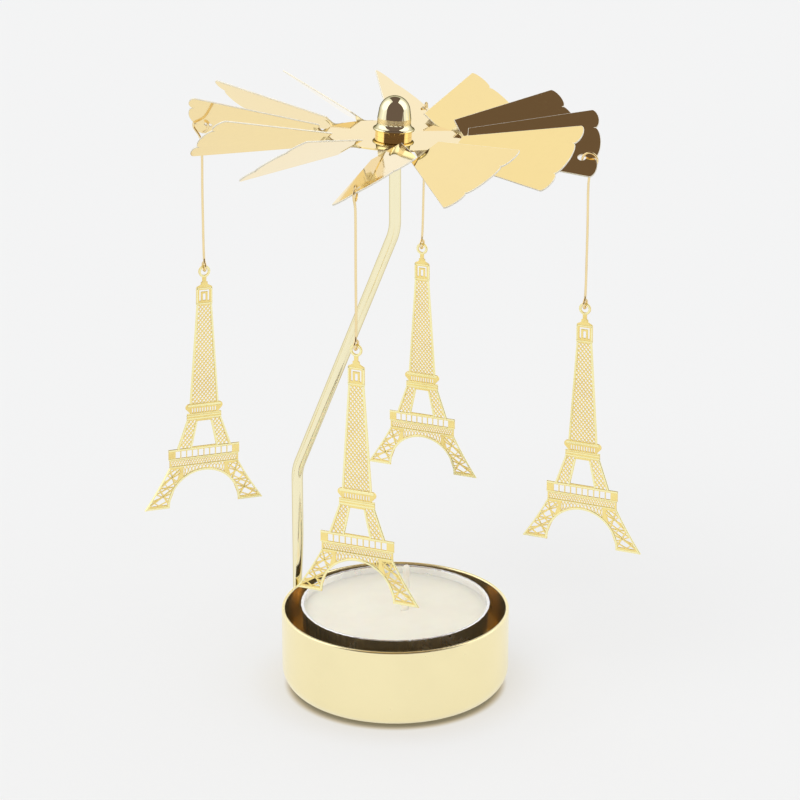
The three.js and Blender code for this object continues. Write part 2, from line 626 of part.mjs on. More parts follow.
// The row of windows in the lower deck and the net below it
function deckGaps() {
  const depths = (shares) => shares.map((share) => THREE.MathUtils.lerp(LOWER_DECK_TOP, LEGS_TOP, share));
  const half = LOWER_DECK_WIDTH / 2;
  const [top, foot] = depths(WINDOW_SHARES);
  const pitch = (LOWER_DECK_WIDTH - 2 * DECK_END) / DECK_WINDOWS;
  const windows = Array.from({ length: DECK_WINDOWS }, (_, i) => {
    const left = DECK_END - half + i * pitch;
    const [near, far] = [left + NET_BAR / 2, left + pitch - NET_BAR / 2];
    return [[near, top], [far, top], [far, foot], [near, foot]];
  });
  const [friezeTop, friezeFoot] = depths(FRIEZE_SHARES);
  const frieze = panel(half - CHARM_BAR, friezeTop, half - CHARM_BAR, friezeFoot);
  return [flat(windows), netGaps(frieze, FRIEZE_CELLS)];
}

// The crossed panels in the two splayed legs
function legGaps() {
  const span = CHARM_HEIGHT - LEGS_TOP;
  const depth = (share) => LEGS_TOP + span * share;
  const arch = (share) => Math.sqrt(Math.max(0, ARCH_RADIUS ** 2 - (span * (1 - share)) ** 2));
  const inner = (share) => Math.max(arch(share), LOWER_DECK_WIDTH / 2 * LEG_INNER_SHARE) + CHARM_BAR;
  const outer = (share) => legOuter(share) - CHARM_BAR / 2;
  return [-1, 1].flatMap((side) => LEG_PANEL_SHARES.slice(1).map((to, i) => {
    const from = LEG_PANEL_SHARES[i];
    return netGaps([
      [side * inner(from), depth(from)], [side * outer(from), depth(from)],
      [side * outer(to), depth(to)], [side * inner(to), depth(to)],
    ], [1, 1]);
  }));
}

// A flat plate of an outline, its middle plane on XZ
function plate(outline, thickness) {
  return new THREE.ExtrudeGeometry(outline, { depth: thickness, bevelEnabled: false })
    .translate(0, 0, -thickness / 2).rotateX(Math.PI / 2);
}

// The flat charm, its ring's middle at the origin and its width along X
function charmGeometry() {
  const ringHole = flat([arc(0, 0, RING_HOLE_RADIUS, 0, 360, 12).slice(1)]);
  const gaps = [ringHole, shaftGaps(), ...middleGaps(), ...deckGaps(), ...legGaps()];
  const depth = CHARM_SHEET + 2 * CUT_OVERRUN;
  const cutter = wasm.CrossSection.union(gaps).extrude(depth)
    .translate([0, 0, -depth / 2]).rotate([90, 0, 0]);
  return geometryOf(solid(plate(charmOutline(), CHARM_SHEET)).subtract(cutter));
}

// The rotor's group hangs from the needle point and leans a little as it rests
function rotorGroup() {
  const group = new THREE.Group();
  const downhill = rad(LEAN_DOWNHILL_AZIMUTH_DEG);
  const axis = new THREE.Vector3(-Math.sin(downhill), Math.cos(downhill), 0);
  group.quaternion.setFromAxisAngle(axis, rad(LEAN_DEG));
  group.position.set(0, 0, PIVOT_Z);
  const seated = new THREE.Group();
  seated.position.set(0, 0, -PIVOT_RISE);
  group.add(seated);
  piece("rotor_plate", rotorGeometry(), GOLD, seated);
  piece("hub_cap", capGeometry(), GOLD, seated);
  piece("pivot_seat", seatGeometry(), BRASS, seated);
  group.updateMatrixWorld(true);
  return [group, seated];
}

// A hanger and its charm below blade k
function hangCharm(k, seated, parent) {
  const bridge = bridgeMiddle().applyMatrix4(bladeMatrix(k)).applyMatrix4(seated.matrixWorld);
  const out = new THREE.Vector3(bridge.x, bridge.y, 0).normalize();
  const yaw = rad(CHARM_YAWS_DEG[k]);
  const face = new THREE.Vector3(Math.sin(yaw), -Math.cos(yaw), 0);
  const innerReach = TOP_EYE_RADIUS - WIRE_RADIUS - SEAT_GAP;
  const sag = Math.sqrt(innerReach ** 2 - (HANGER_BRIDGE / 2) ** 2) - SHEET / 2;
  const group = new THREE.Group();
  group.position.copy(bridge).addScaledVector(UP, -sag);
  parent.add(group);
  const lean = rad(HANGER_LEANS_DEG[k]);
  piece(`hanger_wire_${CHARM_PLACES[k]}`, hangerGeometry(out, face), ROD_GOLD, group).rotation.y = lean;
  const charm = piece(`tower_charm_${CHARM_PLACES[k]}`, charmGeometry(), SATIN_GOLD, group);
  const ringMiddle = (RING_OUTER_RADIUS + RING_HOLE_RADIUS) / 2;
  charm.position.set(-Math.sin(lean) * HANGER_DROP, 0, -Math.cos(lean) * HANGER_DROP - ringMiddle);
  charm.rotation.set(0, rad(CHARM_ROLLS_DEG[k]), yaw, "ZYX");
}

function carousel() {
  const root = new THREE.Group();
  piece("base_cup", cupGeometry(), SATIN_GOLD, root);
  piece("support_arm", armGeometry(), ROD_GOLD, root);
  piece("tealight_cup", tealightCupGeometry(), ALUMINIUM, root);
  piece("tealight_wax", waxGeometry(), WAX, root);
  piece("tealight_wick", wickGeometry(), COTTON, root);
  piece("wick_sustainer", sustainerGeometry(), TINPLATE, root);
  const [rotor, seated] = rotorGroup();
  root.add(rotor);
  HANGER_BLADES.forEach((k) => hangCharm(k, seated, root));
  return root;
}

export default carousel();
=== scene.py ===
"""The finished surfaces of a candle carousel, made around its packed construction.

All lengths are metres, +Z is up and the origin is the middle of the cup's underside. Each sub-assembly is a
class whose fields are its sizes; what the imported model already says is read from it. Its own meshes stand for
the faceted solids of the same piece and lie in the same place.
"""

from __future__ import annotations

import json
import logging
import math
from dataclasses import dataclass, field
from enum import Enum

import bmesh
import bpy
import numpy as np
from bpy.types import ID, Material, Node, NodeSocket, NodeTree, Object
from mathutils import Matrix, Vector


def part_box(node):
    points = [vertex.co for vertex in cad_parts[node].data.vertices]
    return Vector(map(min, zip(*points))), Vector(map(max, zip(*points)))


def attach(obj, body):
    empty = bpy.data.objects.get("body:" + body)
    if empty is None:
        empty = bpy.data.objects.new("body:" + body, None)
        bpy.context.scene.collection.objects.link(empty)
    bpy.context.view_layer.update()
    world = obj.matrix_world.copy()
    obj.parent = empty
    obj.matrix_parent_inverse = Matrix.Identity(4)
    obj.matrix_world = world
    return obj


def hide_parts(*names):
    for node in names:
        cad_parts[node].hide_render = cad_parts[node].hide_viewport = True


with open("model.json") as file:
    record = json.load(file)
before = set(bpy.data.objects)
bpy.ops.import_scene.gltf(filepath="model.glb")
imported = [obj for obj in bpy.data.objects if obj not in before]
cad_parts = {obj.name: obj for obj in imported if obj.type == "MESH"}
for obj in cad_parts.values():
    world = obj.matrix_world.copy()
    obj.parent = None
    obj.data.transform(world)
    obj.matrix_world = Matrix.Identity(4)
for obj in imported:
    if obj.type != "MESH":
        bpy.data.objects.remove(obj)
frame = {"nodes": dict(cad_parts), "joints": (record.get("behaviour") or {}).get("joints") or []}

Array = np.ndarray

LOG = logging.getLogger("carousel")
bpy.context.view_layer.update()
JOINTS = {joint["name"]: joint for joint in frame["joints"]}

MM = 0.001
TURN = 2 * math.pi
WELD = 2e-7
UP = np.array([0.0, 0.0, 1.0])
SIDES = (-1, 1)
# The leans of the rings that close a tube's first end, from its tip on.
CAP_LEANS = np.radians([-90.0, -60.0, -30.0])
# A plate's face is flat where its normal has more than this along the thickness.
FLAT_NORMAL = 0.999
# A bar's section, in half widths and half thicknesses.
BAR_SECTION = np.array([
    [-1, -0.6], [-0.76, -1], [0.76, -1], [1, -0.6], [1, 0.6], [0.76, 1], [-0.76, 1], [-1, 0.6],
])


class Part(Enum):
    """The bodies that several pieces ride on."""

    BASE = "base"
    TEALIGHT = "tealight"
    ROTOR = "rotor"


class Place(Enum):
    """Where the wires and the charms hang."""

    FRONT = "front"
    RIGHT = "right"
    BACK = "back"
    LEFT = "left"


# How far each charm rolls in its ring at rest.
CHARM_ROLLS_DEG = {Place.FRONT: 0.0, Place.RIGHT: -0.4, Place.BACK: -0.2, Place.LEFT: 1.5}


@dataclass
class Patch:
    """A piece of surface.

    Its faces are lists of point numbers. For each face, or for all of them, its finish is a number in the piece's
    list of finishes, and smooth says whether it is shaded round.
    """

    points: Array
    faces: list
    finish: Array | int = 0
    smooth: Array | bool = True

    def placed(self, matrix: Array) -> Patch:
        """The patch with its points carried by a 4x4 matrix."""
        moved = self.points @ matrix[:3, :3].T + matrix[:3, 3]
        return Patch(moved, self.faces, self.finish, self.smooth)


# Surfaces


def joined(*coordinates: Array | float) -> Array:
    """Points from their coordinates, which are broadcast to one shape."""
    return np.stack(np.broadcast_arrays(*coordinates), axis=-1)


def unit(ways: Array) -> Array:
    """Directions brought to a length of 1."""
    return ways / np.linalg.norm(ways, axis=-1, keepdims=True)


def spans(run: Array) -> Array:
    """A run of points as its straight spans, two ends for each."""
    return np.stack([run[:-1], run[1:]], axis=1)


def lattice_faces(rows: int, columns: int, wrap: bool) -> Array:
    """The quads of a grid of points.

    Args:
        rows: points along the first parameter.
        columns: points along the second parameter.
        wrap: whether the last column joins the first.

    Returns:
        Point numbers, four for each quad.
    """
    across = np.arange(columns if wrap else columns - 1)
    start = np.arange(rows - 1)[:, None] * columns
    near, far = start + across, start + (across + 1) % columns
    return joined(near, far, far + columns, near + columns).reshape(-1, 4)


def turned(profile: Array, segments: int, finish: int = 0) -> Patch:
    """A surface of revolution about Z.

    Point (i, j) is (r_i cos a_j, r_i sin a_j, z_i) with a_j evenly spaced over a full turn.

    Args:
        profile: radius and height of each ring.
        segments: points in each ring.
        finish: number of the finish.

    Returns:
        The surface.
    """
    angle = np.arange(segments) * TURN / segments
    radius, height = profile[:, :1], profile[:, 1:]
    points = joined(radius * np.cos(angle), radius * np.sin(angle), height)
    return Patch(points.reshape(-1, 3), lattice_faces(len(profile), segments, True).tolist(), finish)


def arc(centre: tuple | Array, radius: float, start: float, end: float, steps: int) -> Array:
    """Points on an arc in a plane.

    Args:
        centre: the arc's middle.
        radius: the arc's radius.
        start: first angle in degrees.
        end: last angle in degrees.
        steps: spans between the points.

    Returns:
        Both coordinates of each point.
    """
    angle = np.radians(np.linspace(start, end, steps + 1))
    return joined(centre[0] + radius * np.cos(angle), centre[1] + radius * np.sin(angle))


def cup_run(radius: float, floor: float, edge: float, inset: float, steps: int, heights: Array) -> Array:
    """The run of a cup's section from the middle of its floor round the bottom edge and up its wall.

    Args:
        radius: of the wall's outside.
        floor: height of the underside.
        edge: radius of the bottom edge's outside.
        inset: how far the run lies inside the outside.
        steps: spans round the bottom edge.
        heights: of the points on the wall.

    Returns:
        Radius and height of each point.
    """
    return np.vstack([
        [[0, floor + inset], [radius / 2, floor + inset]],
        arc((radius - edge, floor + edge), edge - inset, -90, 0, steps),
        joined(radius - inset, heights),
    ])


def trapezium(top_half: float, top: float, foot_half: float, foot: float) -> Array:
    """The corners of a symmetrical panel from half widths and depths at its top and foot."""
    return np.array([[-top_half, -top], [top_half, -top], [foot_half, -foot], [-foot_half, -foot]])


def smooth_path(points: Array, per_span: int) -> Array:
    """A smooth curve through points: the centripetal spline that blends each span's four nearest points.

    Args:
        points: the points to pass through.
        per_span: points made for each span.

    Returns:
        Points along the curve, with the last given point at its end.
    """
    spread = np.vstack([2 * points[0] - points[1], points, 2 * points[-1] - points[-2]])
    gaps = np.sqrt(np.linalg.norm(np.diff(spread, axis=0), axis=1))[:, None, None]
    one = gaps[:-2]
    two = one + gaps[1:-1]
    three = two + gaps[2:]
    at = one + (two - one) * np.linspace(0, 1, per_span, endpoint=False)[None, :, None]
    a, b, c, d = (p[:, None] for p in (spread[:-3], spread[1:-2], spread[2:-1], spread[3:]))
    left = (one - at) / one * a + at / one * b
    middle = (two - at) / (two - one) * b + (at - one) / (two - one) * c
    right = (three - at) / (three - two) * c + (at - two) / (three - two) * d
    early = (two - at) / two * left + at / two * middle
    late = (three - at) / (three - one) * middle + (at - one) / (three - one) * right
    curve = (two - at) / (two - one) * early + (at - one) / (two - one) * late
    return np.vstack([curve.reshape(-1, points.shape[1]), points[-1]])


def swept(path: Array, side: Array, angle: Array, radius: Array | float, finish: int = 0) -> Patch:
    """A tube along a path, closed by a round cap at each end.

    A ring's point is path + radius (cos angle side' + sin angle (tangent x side')), where side' is side made
    square to the path's tangent. In the caps each ring has a lean: the radius times its sine is the ring's step
    along the tangent, and the radius times its cosine is the ring's own radius.

    Args:
        path: the middle line.
        side: a direction off the path for each of its points.
        angle: angle of each point of each ring, or of one ring for all.
        radius: distance of each point from the middle line, broadcast over the rings.
        finish: number of the finish.

    Returns:
        The surface.
    """
    tangent = unit(np.gradient(path, axis=0))
    side = unit(side - (side * tangent).sum(1)[:, None] * tangent)
    other = np.cross(tangent, side)
    angle = np.broadcast_to(angle, (len(path), np.shape(angle)[-1]))
    radius = np.broadcast_to(radius, angle.shape)
    lean = np.concatenate([CAP_LEANS, np.zeros(len(path)), -CAP_LEANS[::-1]])[:, None]
    row = np.clip(np.arange(len(lean)) - len(CAP_LEANS), 0, len(path) - 1)
    middle = path[row] + np.sin(lean) * radius.mean(axis=1)[row, None] * tangent[row]
    reach, angle = (np.cos(lean) * radius[row])[..., None], angle[row][..., None]
    points = middle[:, None] + reach * (np.cos(angle) * side[row][:, None] + np.sin(angle) * other[row][:, None])
    return Patch(points.reshape(-1, 3), lattice_faces(len(row), angle.shape[1], True).tolist(), finish)


def slab(middle: Array, thickness: float, finish: int = 0) -> Patch:
    """A closed sheet of even thickness about a grid of points, offset both ways along the grid's normals.

    Args:
        middle: grid of points, rows by columns by 3.
        thickness: of the sheet.
        finish: number of the finish.

    Returns:
        The surface.
    """
    rows, columns = middle.shape[:2]
    half = unit(np.cross(np.gradient(middle, axis=0), np.gradient(middle, axis=1))) * thickness / 2
    points = np.vstack([(middle + half).reshape(-1, 3), (middle - half).reshape(-1, 3)])
    top, count = lattice_faces(rows, columns, False), rows * columns
    number = np.arange(count).reshape(rows, columns)
    rim = np.concatenate([number[0, :-1], number[:-1, -1], number[-1, :0:-1], number[:0:-1, 0]])
    following = np.roll(rim, -1)
    wall = joined(following, rim, rim + count, following + count)
    return Patch(points, np.vstack([top, top[:, ::-1] + count, wall]).tolist(), finish)


def bars(ends: Array, width: float, thickness: float, finish: int = 0) -> Patch:
    """Straight flat bars in the XZ plane, each a closed box with chamfered long edges.

    Args:
        ends: two points for each bar, as (bars, 2, 2), across and up.
        width: of each bar.
        thickness: of each bar, about the plane.
        finish: number of the finish.

    Returns:
        The bars as one patch.
    """
    along = unit(ends[:, 1] - ends[:, 0])
    across = joined(-along[:, 1], along[:, 0]) * width / 2
    corners = ends[:, :, None] + across[:, None, None] * BAR_SECTION[:, :1]
    points = joined(corners[..., 0], BAR_SECTION[:, 1] * thickness / 2, corners[..., 1]).reshape(-1, 3)
    count = len(BAR_SECTION)
    start = np.arange(len(ends))[:, None] * 2 * count
    near, far = np.arange(count), (np.arange(count) + 1) % count
    sides = joined(start + near, start + far, start + far + count, start + near + count)
    caps = (start + near[::-1]).tolist() + (start + near + count).tolist()
    return Patch(points, sides.reshape(-1, 4).tolist() + caps, finish, False)


def flat_plate(outline: Array, holes: list, thickness: float, edge: float, edge_finish: int = 0) -> Patch:
    """A flat plate in the XZ plane with holes and slightly rounded edges, filled in millimetres.

    Args:
        outline: points round the plate, across and up.
        holes: points round each hole.
        thickness: of the plate.
        edge: radius of its edges.
        edge_finish: number of the finish on its edges.

    Returns:
        The plate.
    """
    curve = bpy.data.curves.new("plate", "CURVE")
    curve.dimensions, curve.fill_mode, curve.bevel_resolution = "2D", "BOTH", 1
    curve.extrude, curve.bevel_depth, curve.offset = (thickness / 2 - edge) / MM, edge / MM, -edge / MM
    for loop in [outline, *holes]:
        spline = curve.splines.new("POLY")
        spline.points.add(len(loop) - 1)
        across, up = np.asarray(loop).T / MM
        spline.points.foreach_set("co", joined(across, up, 0.0, 1.0).ravel())
        spline.use_cyclic_u = True
    holder = bpy.data.objects.new("plate", curve)
    mesh = bpy.data.meshes.new_from_object(holder)
    points, normals = np.zeros(len(mesh.vertices) * 3), np.zeros(len(mesh.polygons) * 3)
    mesh.vertices.foreach_get("co", points)
    mesh.polygons.foreach_get("normal", normals)
    faces = [list(face.vertices) for face in mesh.polygons]
    bpy.data.objects.remove(holder)
    bpy.data.curves.remove(curve)
    bpy.data.meshes.remove(mesh)
    on_edge = np.abs(normals[2::3]) < FLAT_NORMAL
    across, up, depth = points.reshape(-1, 3).T * MM
    return Patch(joined(across, -depth, up), faces, np.where(on_edge, edge_finish, 0), on_edge)


def put(name: str, data: ID) -> Object:
    """Puts a new object into the scene.

    Args:
        name: of the object.
        data: its mesh, camera or lamp.

    Returns:
        The object.
    """
    made = bpy.data.objects.new(name, data)
    bpy.context.scene.collection.objects.link(made)
    return made


def make_piece(name: str, patches: list, finishes: list, body: str, node: str, smooth_deg: float) -> None:
    """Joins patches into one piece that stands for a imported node.

    Args:
        name: name of the piece.
        patches: its surfaces.
        finishes: its materials, in the order of the patches' finish numbers.
        body: the body that it rides on.
        node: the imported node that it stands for.
        smooth_deg: edges that turn by more than this stay sharp.
    """
    starts = np.cumsum([0] + [len(patch.points) for patch in patches])
    faces = [[start + corner for corner in face] for start, patch in zip(starts, patches) for face in patch.faces]
    kinds, smooth = (
        np.concatenate([np.broadcast_to(getattr(patch, key), len(patch.faces)) for patch in patches])
        for key in ("finish", "smooth")
    )
    mesh = bpy.data.meshes.new(name)
    mesh.from_pydata(np.vstack([patch.points for patch in patches]).tolist(), [], faces)
    mesh.polygons.foreach_set("material_index", kinds)
    mesh.polygons.foreach_set("use_smooth", smooth)
    shape = bmesh.new()
    shape.from_mesh(mesh)
    bmesh.ops.remove_doubles(shape, verts=shape.verts, dist=WELD)
    bmesh.ops.recalc_face_normals(shape, faces=shape.faces)
    shape.to_mesh(mesh)
    shape.free()
    rounded = np.zeros(len(mesh.polygons), dtype=bool)
    mesh.polygons.foreach_get("use_smooth", rounded)
    mesh.set_sharp_from_angle(angle=math.radians(smooth_deg))
    mesh.polygons.foreach_set("use_smooth", rounded)
    for finish in finishes:
        mesh.materials.append(finish)
    piece = put(name, mesh)
    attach(piece, body)
    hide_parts(node)
    LOG.info("%s: %d faces on %s", name, len(mesh.polygons), body)


# Shared shader groups


class Nodes:
    """Short calls for putting nodes into a tree."""

    def __init__(self, tree: NodeTree) -> None:
        """Keeps the tree that the nodes go into."""
        self.tree = tree

    def feed(self, node: Node, **inputs: object) -> None:
        """Gives a node's sockets values or links.

        Args:
            node: the node.
            **inputs: values or links by socket name, with _ for a space, or by a letter and the socket's number.
                A colour may leave out its alpha of 1.
        """
        for key, value in inputs.items():
            socket = node.inputs[int(key[1:]) if key[1:].isdigit() else key.replace("_", " ")]
            if isinstance(value, NodeSocket):
                self.tree.links.new(value, socket)
            else:
                socket.default_value = (*value, 1) if socket.type == "RGBA" and len(value) == 3 else value

    def add(self, kind: str, settings: dict | None = None, **inputs: object) -> Node:
        """Adds a node.

        Args:
            kind: the node's type name.
            settings: values of the node's own properties.
            **inputs: as for feed.

        Returns:
            The node.
        """
        node = self.tree.nodes.new(kind)
        for key, value in (settings or {}).items():
            setattr(node, key, value)
        self.feed(node, **inputs)
        return node

    def math(self, operation: str, *values: object) -> object:
        """The result of an operation on values, taken two by two from the left.

        Args:
            operation: name of the operation.
            *values: two values or more, each a number or a socket.

        Returns:
            The result's socket.
        """
        result, *others = values
        for value in others:
            result = self.add("ShaderNodeMath", {"operation": operation}, i0=result, i1=value).outputs[0]
        return result

    def vector(self, operation: str, way: object, other: tuple = (0.0, 0.0, 0.0)) -> NodeSocket:
        """The number that an operation on one or two vectors gives."""
        return self.add("ShaderNodeVectorMath", {"operation": operation}, i0=way, i1=other).outputs["Value"]

    def ramp(self, value: object, low: float, high: float, start: float = 0.0, end: float = 1.0) -> object:
        """A value carried smoothly from one range to another."""
        ranges = {"From_Min": low, "From_Max": high, "To_Min": start, "To_Max": end}
        return self.add("ShaderNodeMapRange", {"interpolation_type": "SMOOTHSTEP"}, Value=value, **ranges).outputs[0]

    def noise(self, place: object, scale: float, detail: float = 2.0, roughness: float = 0.5) -> object:
        """A noise value from 0 to 1 at a place."""
        node = self.add("ShaderNodeTexNoise", Vector=place, Scale=scale, Detail=detail, Roughness=roughness)
        return node.outputs["Fac"]

    def blend(self, share: object, first: object, second: object) -> NodeSocket:
        """A colour between two colours."""
        return self.add("ShaderNodeMix", {"data_type": "RGBA"}, Factor=share, i6=first, i7=second).outputs[2]

    def stretched(self, place: object, scale: tuple) -> NodeSocket:
        """A place scaled along each axis."""
        return self.add("ShaderNodeMapping", Vector=place, Scale=scale).outputs[0]

    def bump(self, height: object, distance: float, strength: float = 1.0) -> NodeSocket:
        """The normal of a surface that a height waves."""
        return self.add("ShaderNodeBump", Strength=strength, Distance=distance, Height=height).outputs[0]


def blank_nodes(owner: ID) -> Nodes:
    """Turns on the nodes of a material or world and clears them.

    Args:
        owner: the material or world.

    Returns:
        Its node helper.
    """
    owner.use_nodes = True
    owner.node_tree.nodes.clear()
    return Nodes(owner.node_tree)


def shader_group(name: str, number: str, outputs: tuple) -> tuple:
    """An empty shader group with a place and a number going in.

    Args:
        name: of the group.
        number: name of the number, which is 1 by default.
        outputs: names of the values that come out.

    Returns:
        The group, its node helper, its input node and its output node.
    """
    tree = bpy.data.node_groups.new(name, "ShaderNodeTree")
    tree.interface.new_socket(name="Place", in_out="INPUT", socket_type="NodeSocketVector")
    tree.interface.new_socket(name=number, in_out="INPUT", socket_type="NodeSocketFloat").default_value = 1.0
    for key in outputs:
        tree.interface.new_socket(name=key, in_out="OUTPUT", socket_type="NodeSocketFloat")
    nodes = Nodes(tree)
    return tree, nodes, nodes.add("NodeGroupInput"), nodes.add("NodeGroupOutput")


def handling_marks() -> NodeTree:
    """Faint smears and specks that polished metal picks up from hands and air.

    Returns:
        A group from a place to a mask of smears, a mask of specks and a fine height.
    """
    tree, nodes, start, end = shader_group("handling_marks", "Size", ("Smears", "Specks", "Height"))
    sockets = start.outputs
    scaled = nodes.add("ShaderNodeVectorMath", {"operation": "SCALE"}, Vector=sockets["Place"], Scale=sockets["Size"])
    place = scaled.outputs[0]
    wide = nodes.noise(place, 90.0, 4.0, 0.6)
    fine = nodes.noise(place, 900.0, 3.0, 0.6)
    grit = nodes.noise(place, 2600.0, 1.0)
    height = nodes.math("ADD", nodes.math("MULTIPLY", wide, 0.8), nodes.math("MULTIPLY", fine, 0.2))
    nodes.feed(end, Smears=nodes.ramp(wide, 0.42, 0.72), Specks=nodes.ramp(grit, 0.74, 0.82), Height=height)
    return tree


def edge_polish() -> NodeTree:
    """Where edges are rubbed brighter: convex places by pointiness, broken up by noise.

    Returns:
        A group from a place and an amount to a mask.
    """
    tree, nodes, start, end = shader_group("edge_polish", "Amount", ("Mask",))
    convex = nodes.ramp(nodes.add("ShaderNodeNewGeometry").outputs["Pointiness"], 0.5, 0.56)
    broken = nodes.ramp(nodes.noise(start.outputs["Place"], 700.0, 3.0), 0.3, 0.6, 0.4, 1.0)
    nodes.feed(end, Mask=nodes.math("MULTIPLY", convex, broken, start.outputs["Amount"]))
    return tree


@dataclass
class SharedGroups:
    """The shader groups that several finishes use."""

    marks: NodeTree = field(default_factory=handling_marks)
    edges: NodeTree = field(default_factory=edge_polish)


# Finishes


def new_material(name: str) -> tuple:
    """A material with its node helper, its object coordinates and its surface shader.

    Args:
        name: of the material.

    Returns:
        The material, the helper, the place socket and the shader node.
    """
    material = bpy.data.materials.new(name)
    nodes = blank_nodes(material)
    shader = nodes.add("ShaderNodeBsdfPrincipled")
    nodes.add("ShaderNodeOutputMaterial", Surface=shader.outputs[0])
    return material, nodes, nodes.add("ShaderNodeTexCoord").outputs["Object"], shader


@dataclass(frozen=True)
class MetalFinish:
    """A metal surface: its colour, its smear colour, how rough it is and how it waves."""

    name: str
    colour: tuple
    smeared: tuple
    roughness: float
    smear_roughness: float
    wave_height: float
    wave_scale: float = 1.0
    edge_amount: float = 0.3
    brush_height: float = 0.0
    brush_scale: tuple = (1.0, 1.0, 1.0)
    metal_share: float = 1.0
    edge_tint: tuple = (1.0, 1.0, 1.0)
    smear_share: float = 0.5
    rub_gain: float = 1.06
    rub_lift: float = 0.02
    brush_noise: tuple = (900.0, 3.0, 0.7)

    def material(self, groups: SharedGroups) -> Material:
        """Builds the metal's material.

        Args:
            groups: the shared shader groups.

        Returns:
            The material.
        """
        material, nodes, place, shader = new_material(self.name)
        marks = nodes.add("ShaderNodeGroup", {"node_tree": groups.marks}, Place=place, Size=self.wave_scale).outputs
        edges = nodes.add("ShaderNodeGroup", {"node_tree": groups.edges}, Place=place, Amount=self.edge_amount)
        tone = nodes.blend(nodes.math("MULTIPLY", marks["Smears"], self.smear_share), self.colour, self.smeared)
        rubbed = tuple(min(1.0, value * self.rub_gain + self.rub_lift) for value in self.colour)
        dulled = nodes.math("MULTIPLY", marks["Smears"], self.smear_roughness)
        specks = nodes.math("MULTIPLY", marks["Specks"], self.smear_roughness * 2)
        height = marks["Height"]
        if self.brush_height > 0:
            grain = nodes.noise(nodes.stretched(place, self.brush_scale), *self.brush_noise)
            height = nodes.math("ADD", height, nodes.math("MULTIPLY", grain, self.brush_height))
        nodes.feed(
            shader,
            Base_Color=nodes.blend(edges.outputs["Mask"], tone, rubbed),
            Roughness=nodes.math("ADD", dulled, self.roughness, specks),
            Metallic=self.metal_share,
            Specular_Tint=self.edge_tint,
            Normal=nodes.bump(height, self.wave_height),
        )
        return material


@dataclass(frozen=True)
class SoftFinish:
    """A matte surface that lets light in: its colours, its roughness and how light spreads in it.

    The grain and the wave are each a noise's scale, detail and roughness.
    """

    name: str
    low_colour: tuple
    high_colour: tuple
    grain: tuple
    roughness: tuple
    scatter: float
    scatter_radius: tuple
    scatter_depth: float
    wave: tuple
    wave_height: float
    wave_strength: float
    sheen: float = 0.0
    stretch: tuple = (1.0, 1.0, 1.0)

    def material(self) -> Material:
        """Builds the surface's material.

        Returns:
            The material.
        """
        material, nodes, place, shader = new_material(self.name)
        place = nodes.stretched(place, self.stretch)
        grain = nodes.noise(place, *self.grain)
        nodes.feed(
            shader,
            Base_Color=nodes.blend(nodes.ramp(grain, 0.35, 0.7), self.low_colour, self.high_colour),
            Roughness=nodes.ramp(grain, 0.3, 0.7, *self.roughness),
            Sheen_Weight=self.sheen,
            Subsurface_Weight=self.scatter,
            Subsurface_Radius=self.scatter_radius,
            Subsurface_Scale=self.scatter_depth,
            Normal=nodes.bump(nodes.noise(place, *self.wave), self.wave_height, self.wave_strength),
        )
        return material


ROTOR_GOLD = MetalFinish(
    "mirror_gold", (0.93, 0.73, 0.33), (0.9, 0.7, 0.34), 0.035, 0.05, 0.004 * MM, 0.4, 0.25)
CUT_GOLD = MetalFinish(
    "cut_edge_gold", (1.0, 0.93, 0.78), (0.98, 0.9, 0.72), 0.42, 0.1, 0.01 * MM, 1.0, 0.4, 0.3, (1.0, 1.0, 0.2),
    metal_share=0.2)
CAP_GOLD = MetalFinish(
    "cap_gold", (0.93, 0.86, 0.58), (0.9, 0.82, 0.55), 0.02, 0.03, 0.002 * MM, 0.6, 0.1, edge_tint=(0.06, 0.05, 0.02))
BAND_GOLD = MetalFinish(
    "cap_band_gold", (0.98, 0.84, 0.5), (0.93, 0.77, 0.44), 0.42, 0.08, 0.002 * MM, 0.6, 0.1,
    edge_tint=(0.2, 0.16, 0.08))
SATIN_GOLD = MetalFinish(
    "satin_gold", (0.97, 0.86, 0.52), (0.94, 0.83, 0.5), 0.2, 0.06, 0.006 * MM, 0.6, 0.4, 0.4, (1.0, 1.0, 0.06))
INNER_GOLD = MetalFinish(
    "inner_gold", (1.0, 0.81, 0.46), (0.97, 0.73, 0.36), 0.12, 0.06, 0.03 * MM, 0.35, 0.3, metal_share=0.9)
ROD_GOLD = MetalFinish(
    "rod_gold", (0.94, 0.87, 0.6), (0.91, 0.84, 0.57), 0.12, 0.06, 0.006 * MM, 0.8, 0.3, 0.3, (1.0, 1.0, 0.1),
    edge_tint=(0.6, 0.52, 0.3))
WIRE_GOLD = MetalFinish(
    "wire_gold", (0.91, 0.74, 0.42), (0.86, 0.68, 0.38), 0.14, 0.06, 0.004 * MM, 1.5, 0.2, edge_tint=(0.6, 0.45, 0.2))
CHARM_FACE = MetalFinish(
    "charm_bars", (1.0, 0.9, 0.5), (0.98, 0.86, 0.44), 0.2, 0.06, 0.006 * MM, 2.0, 0.5, edge_tint=(0.8, 0.7, 0.4))
CHARM_GROUND = MetalFinish(
    "charm_plate", (0.98, 0.8, 0.32), (0.94, 0.71, 0.25), 0.24, 0.1, 0.02 * MM, 3.0, 0.2, edge_tint=(0.7, 0.52, 0.25))
FOIL = MetalFinish(
    "tealight_foil", (0.93, 0.93, 0.94), (0.88, 0.87, 0.89), 0.2, 0.12, 0.06 * MM, 1.6, 0.3, metal_share=0.9)
FOIL_OUTSIDE = MetalFinish(
    "tealight_foil_outside", (0.95, 0.94, 0.93), (0.91, 0.9, 0.9), 0.2, 0.12, 0.04 * MM, 1.6, 0.2)
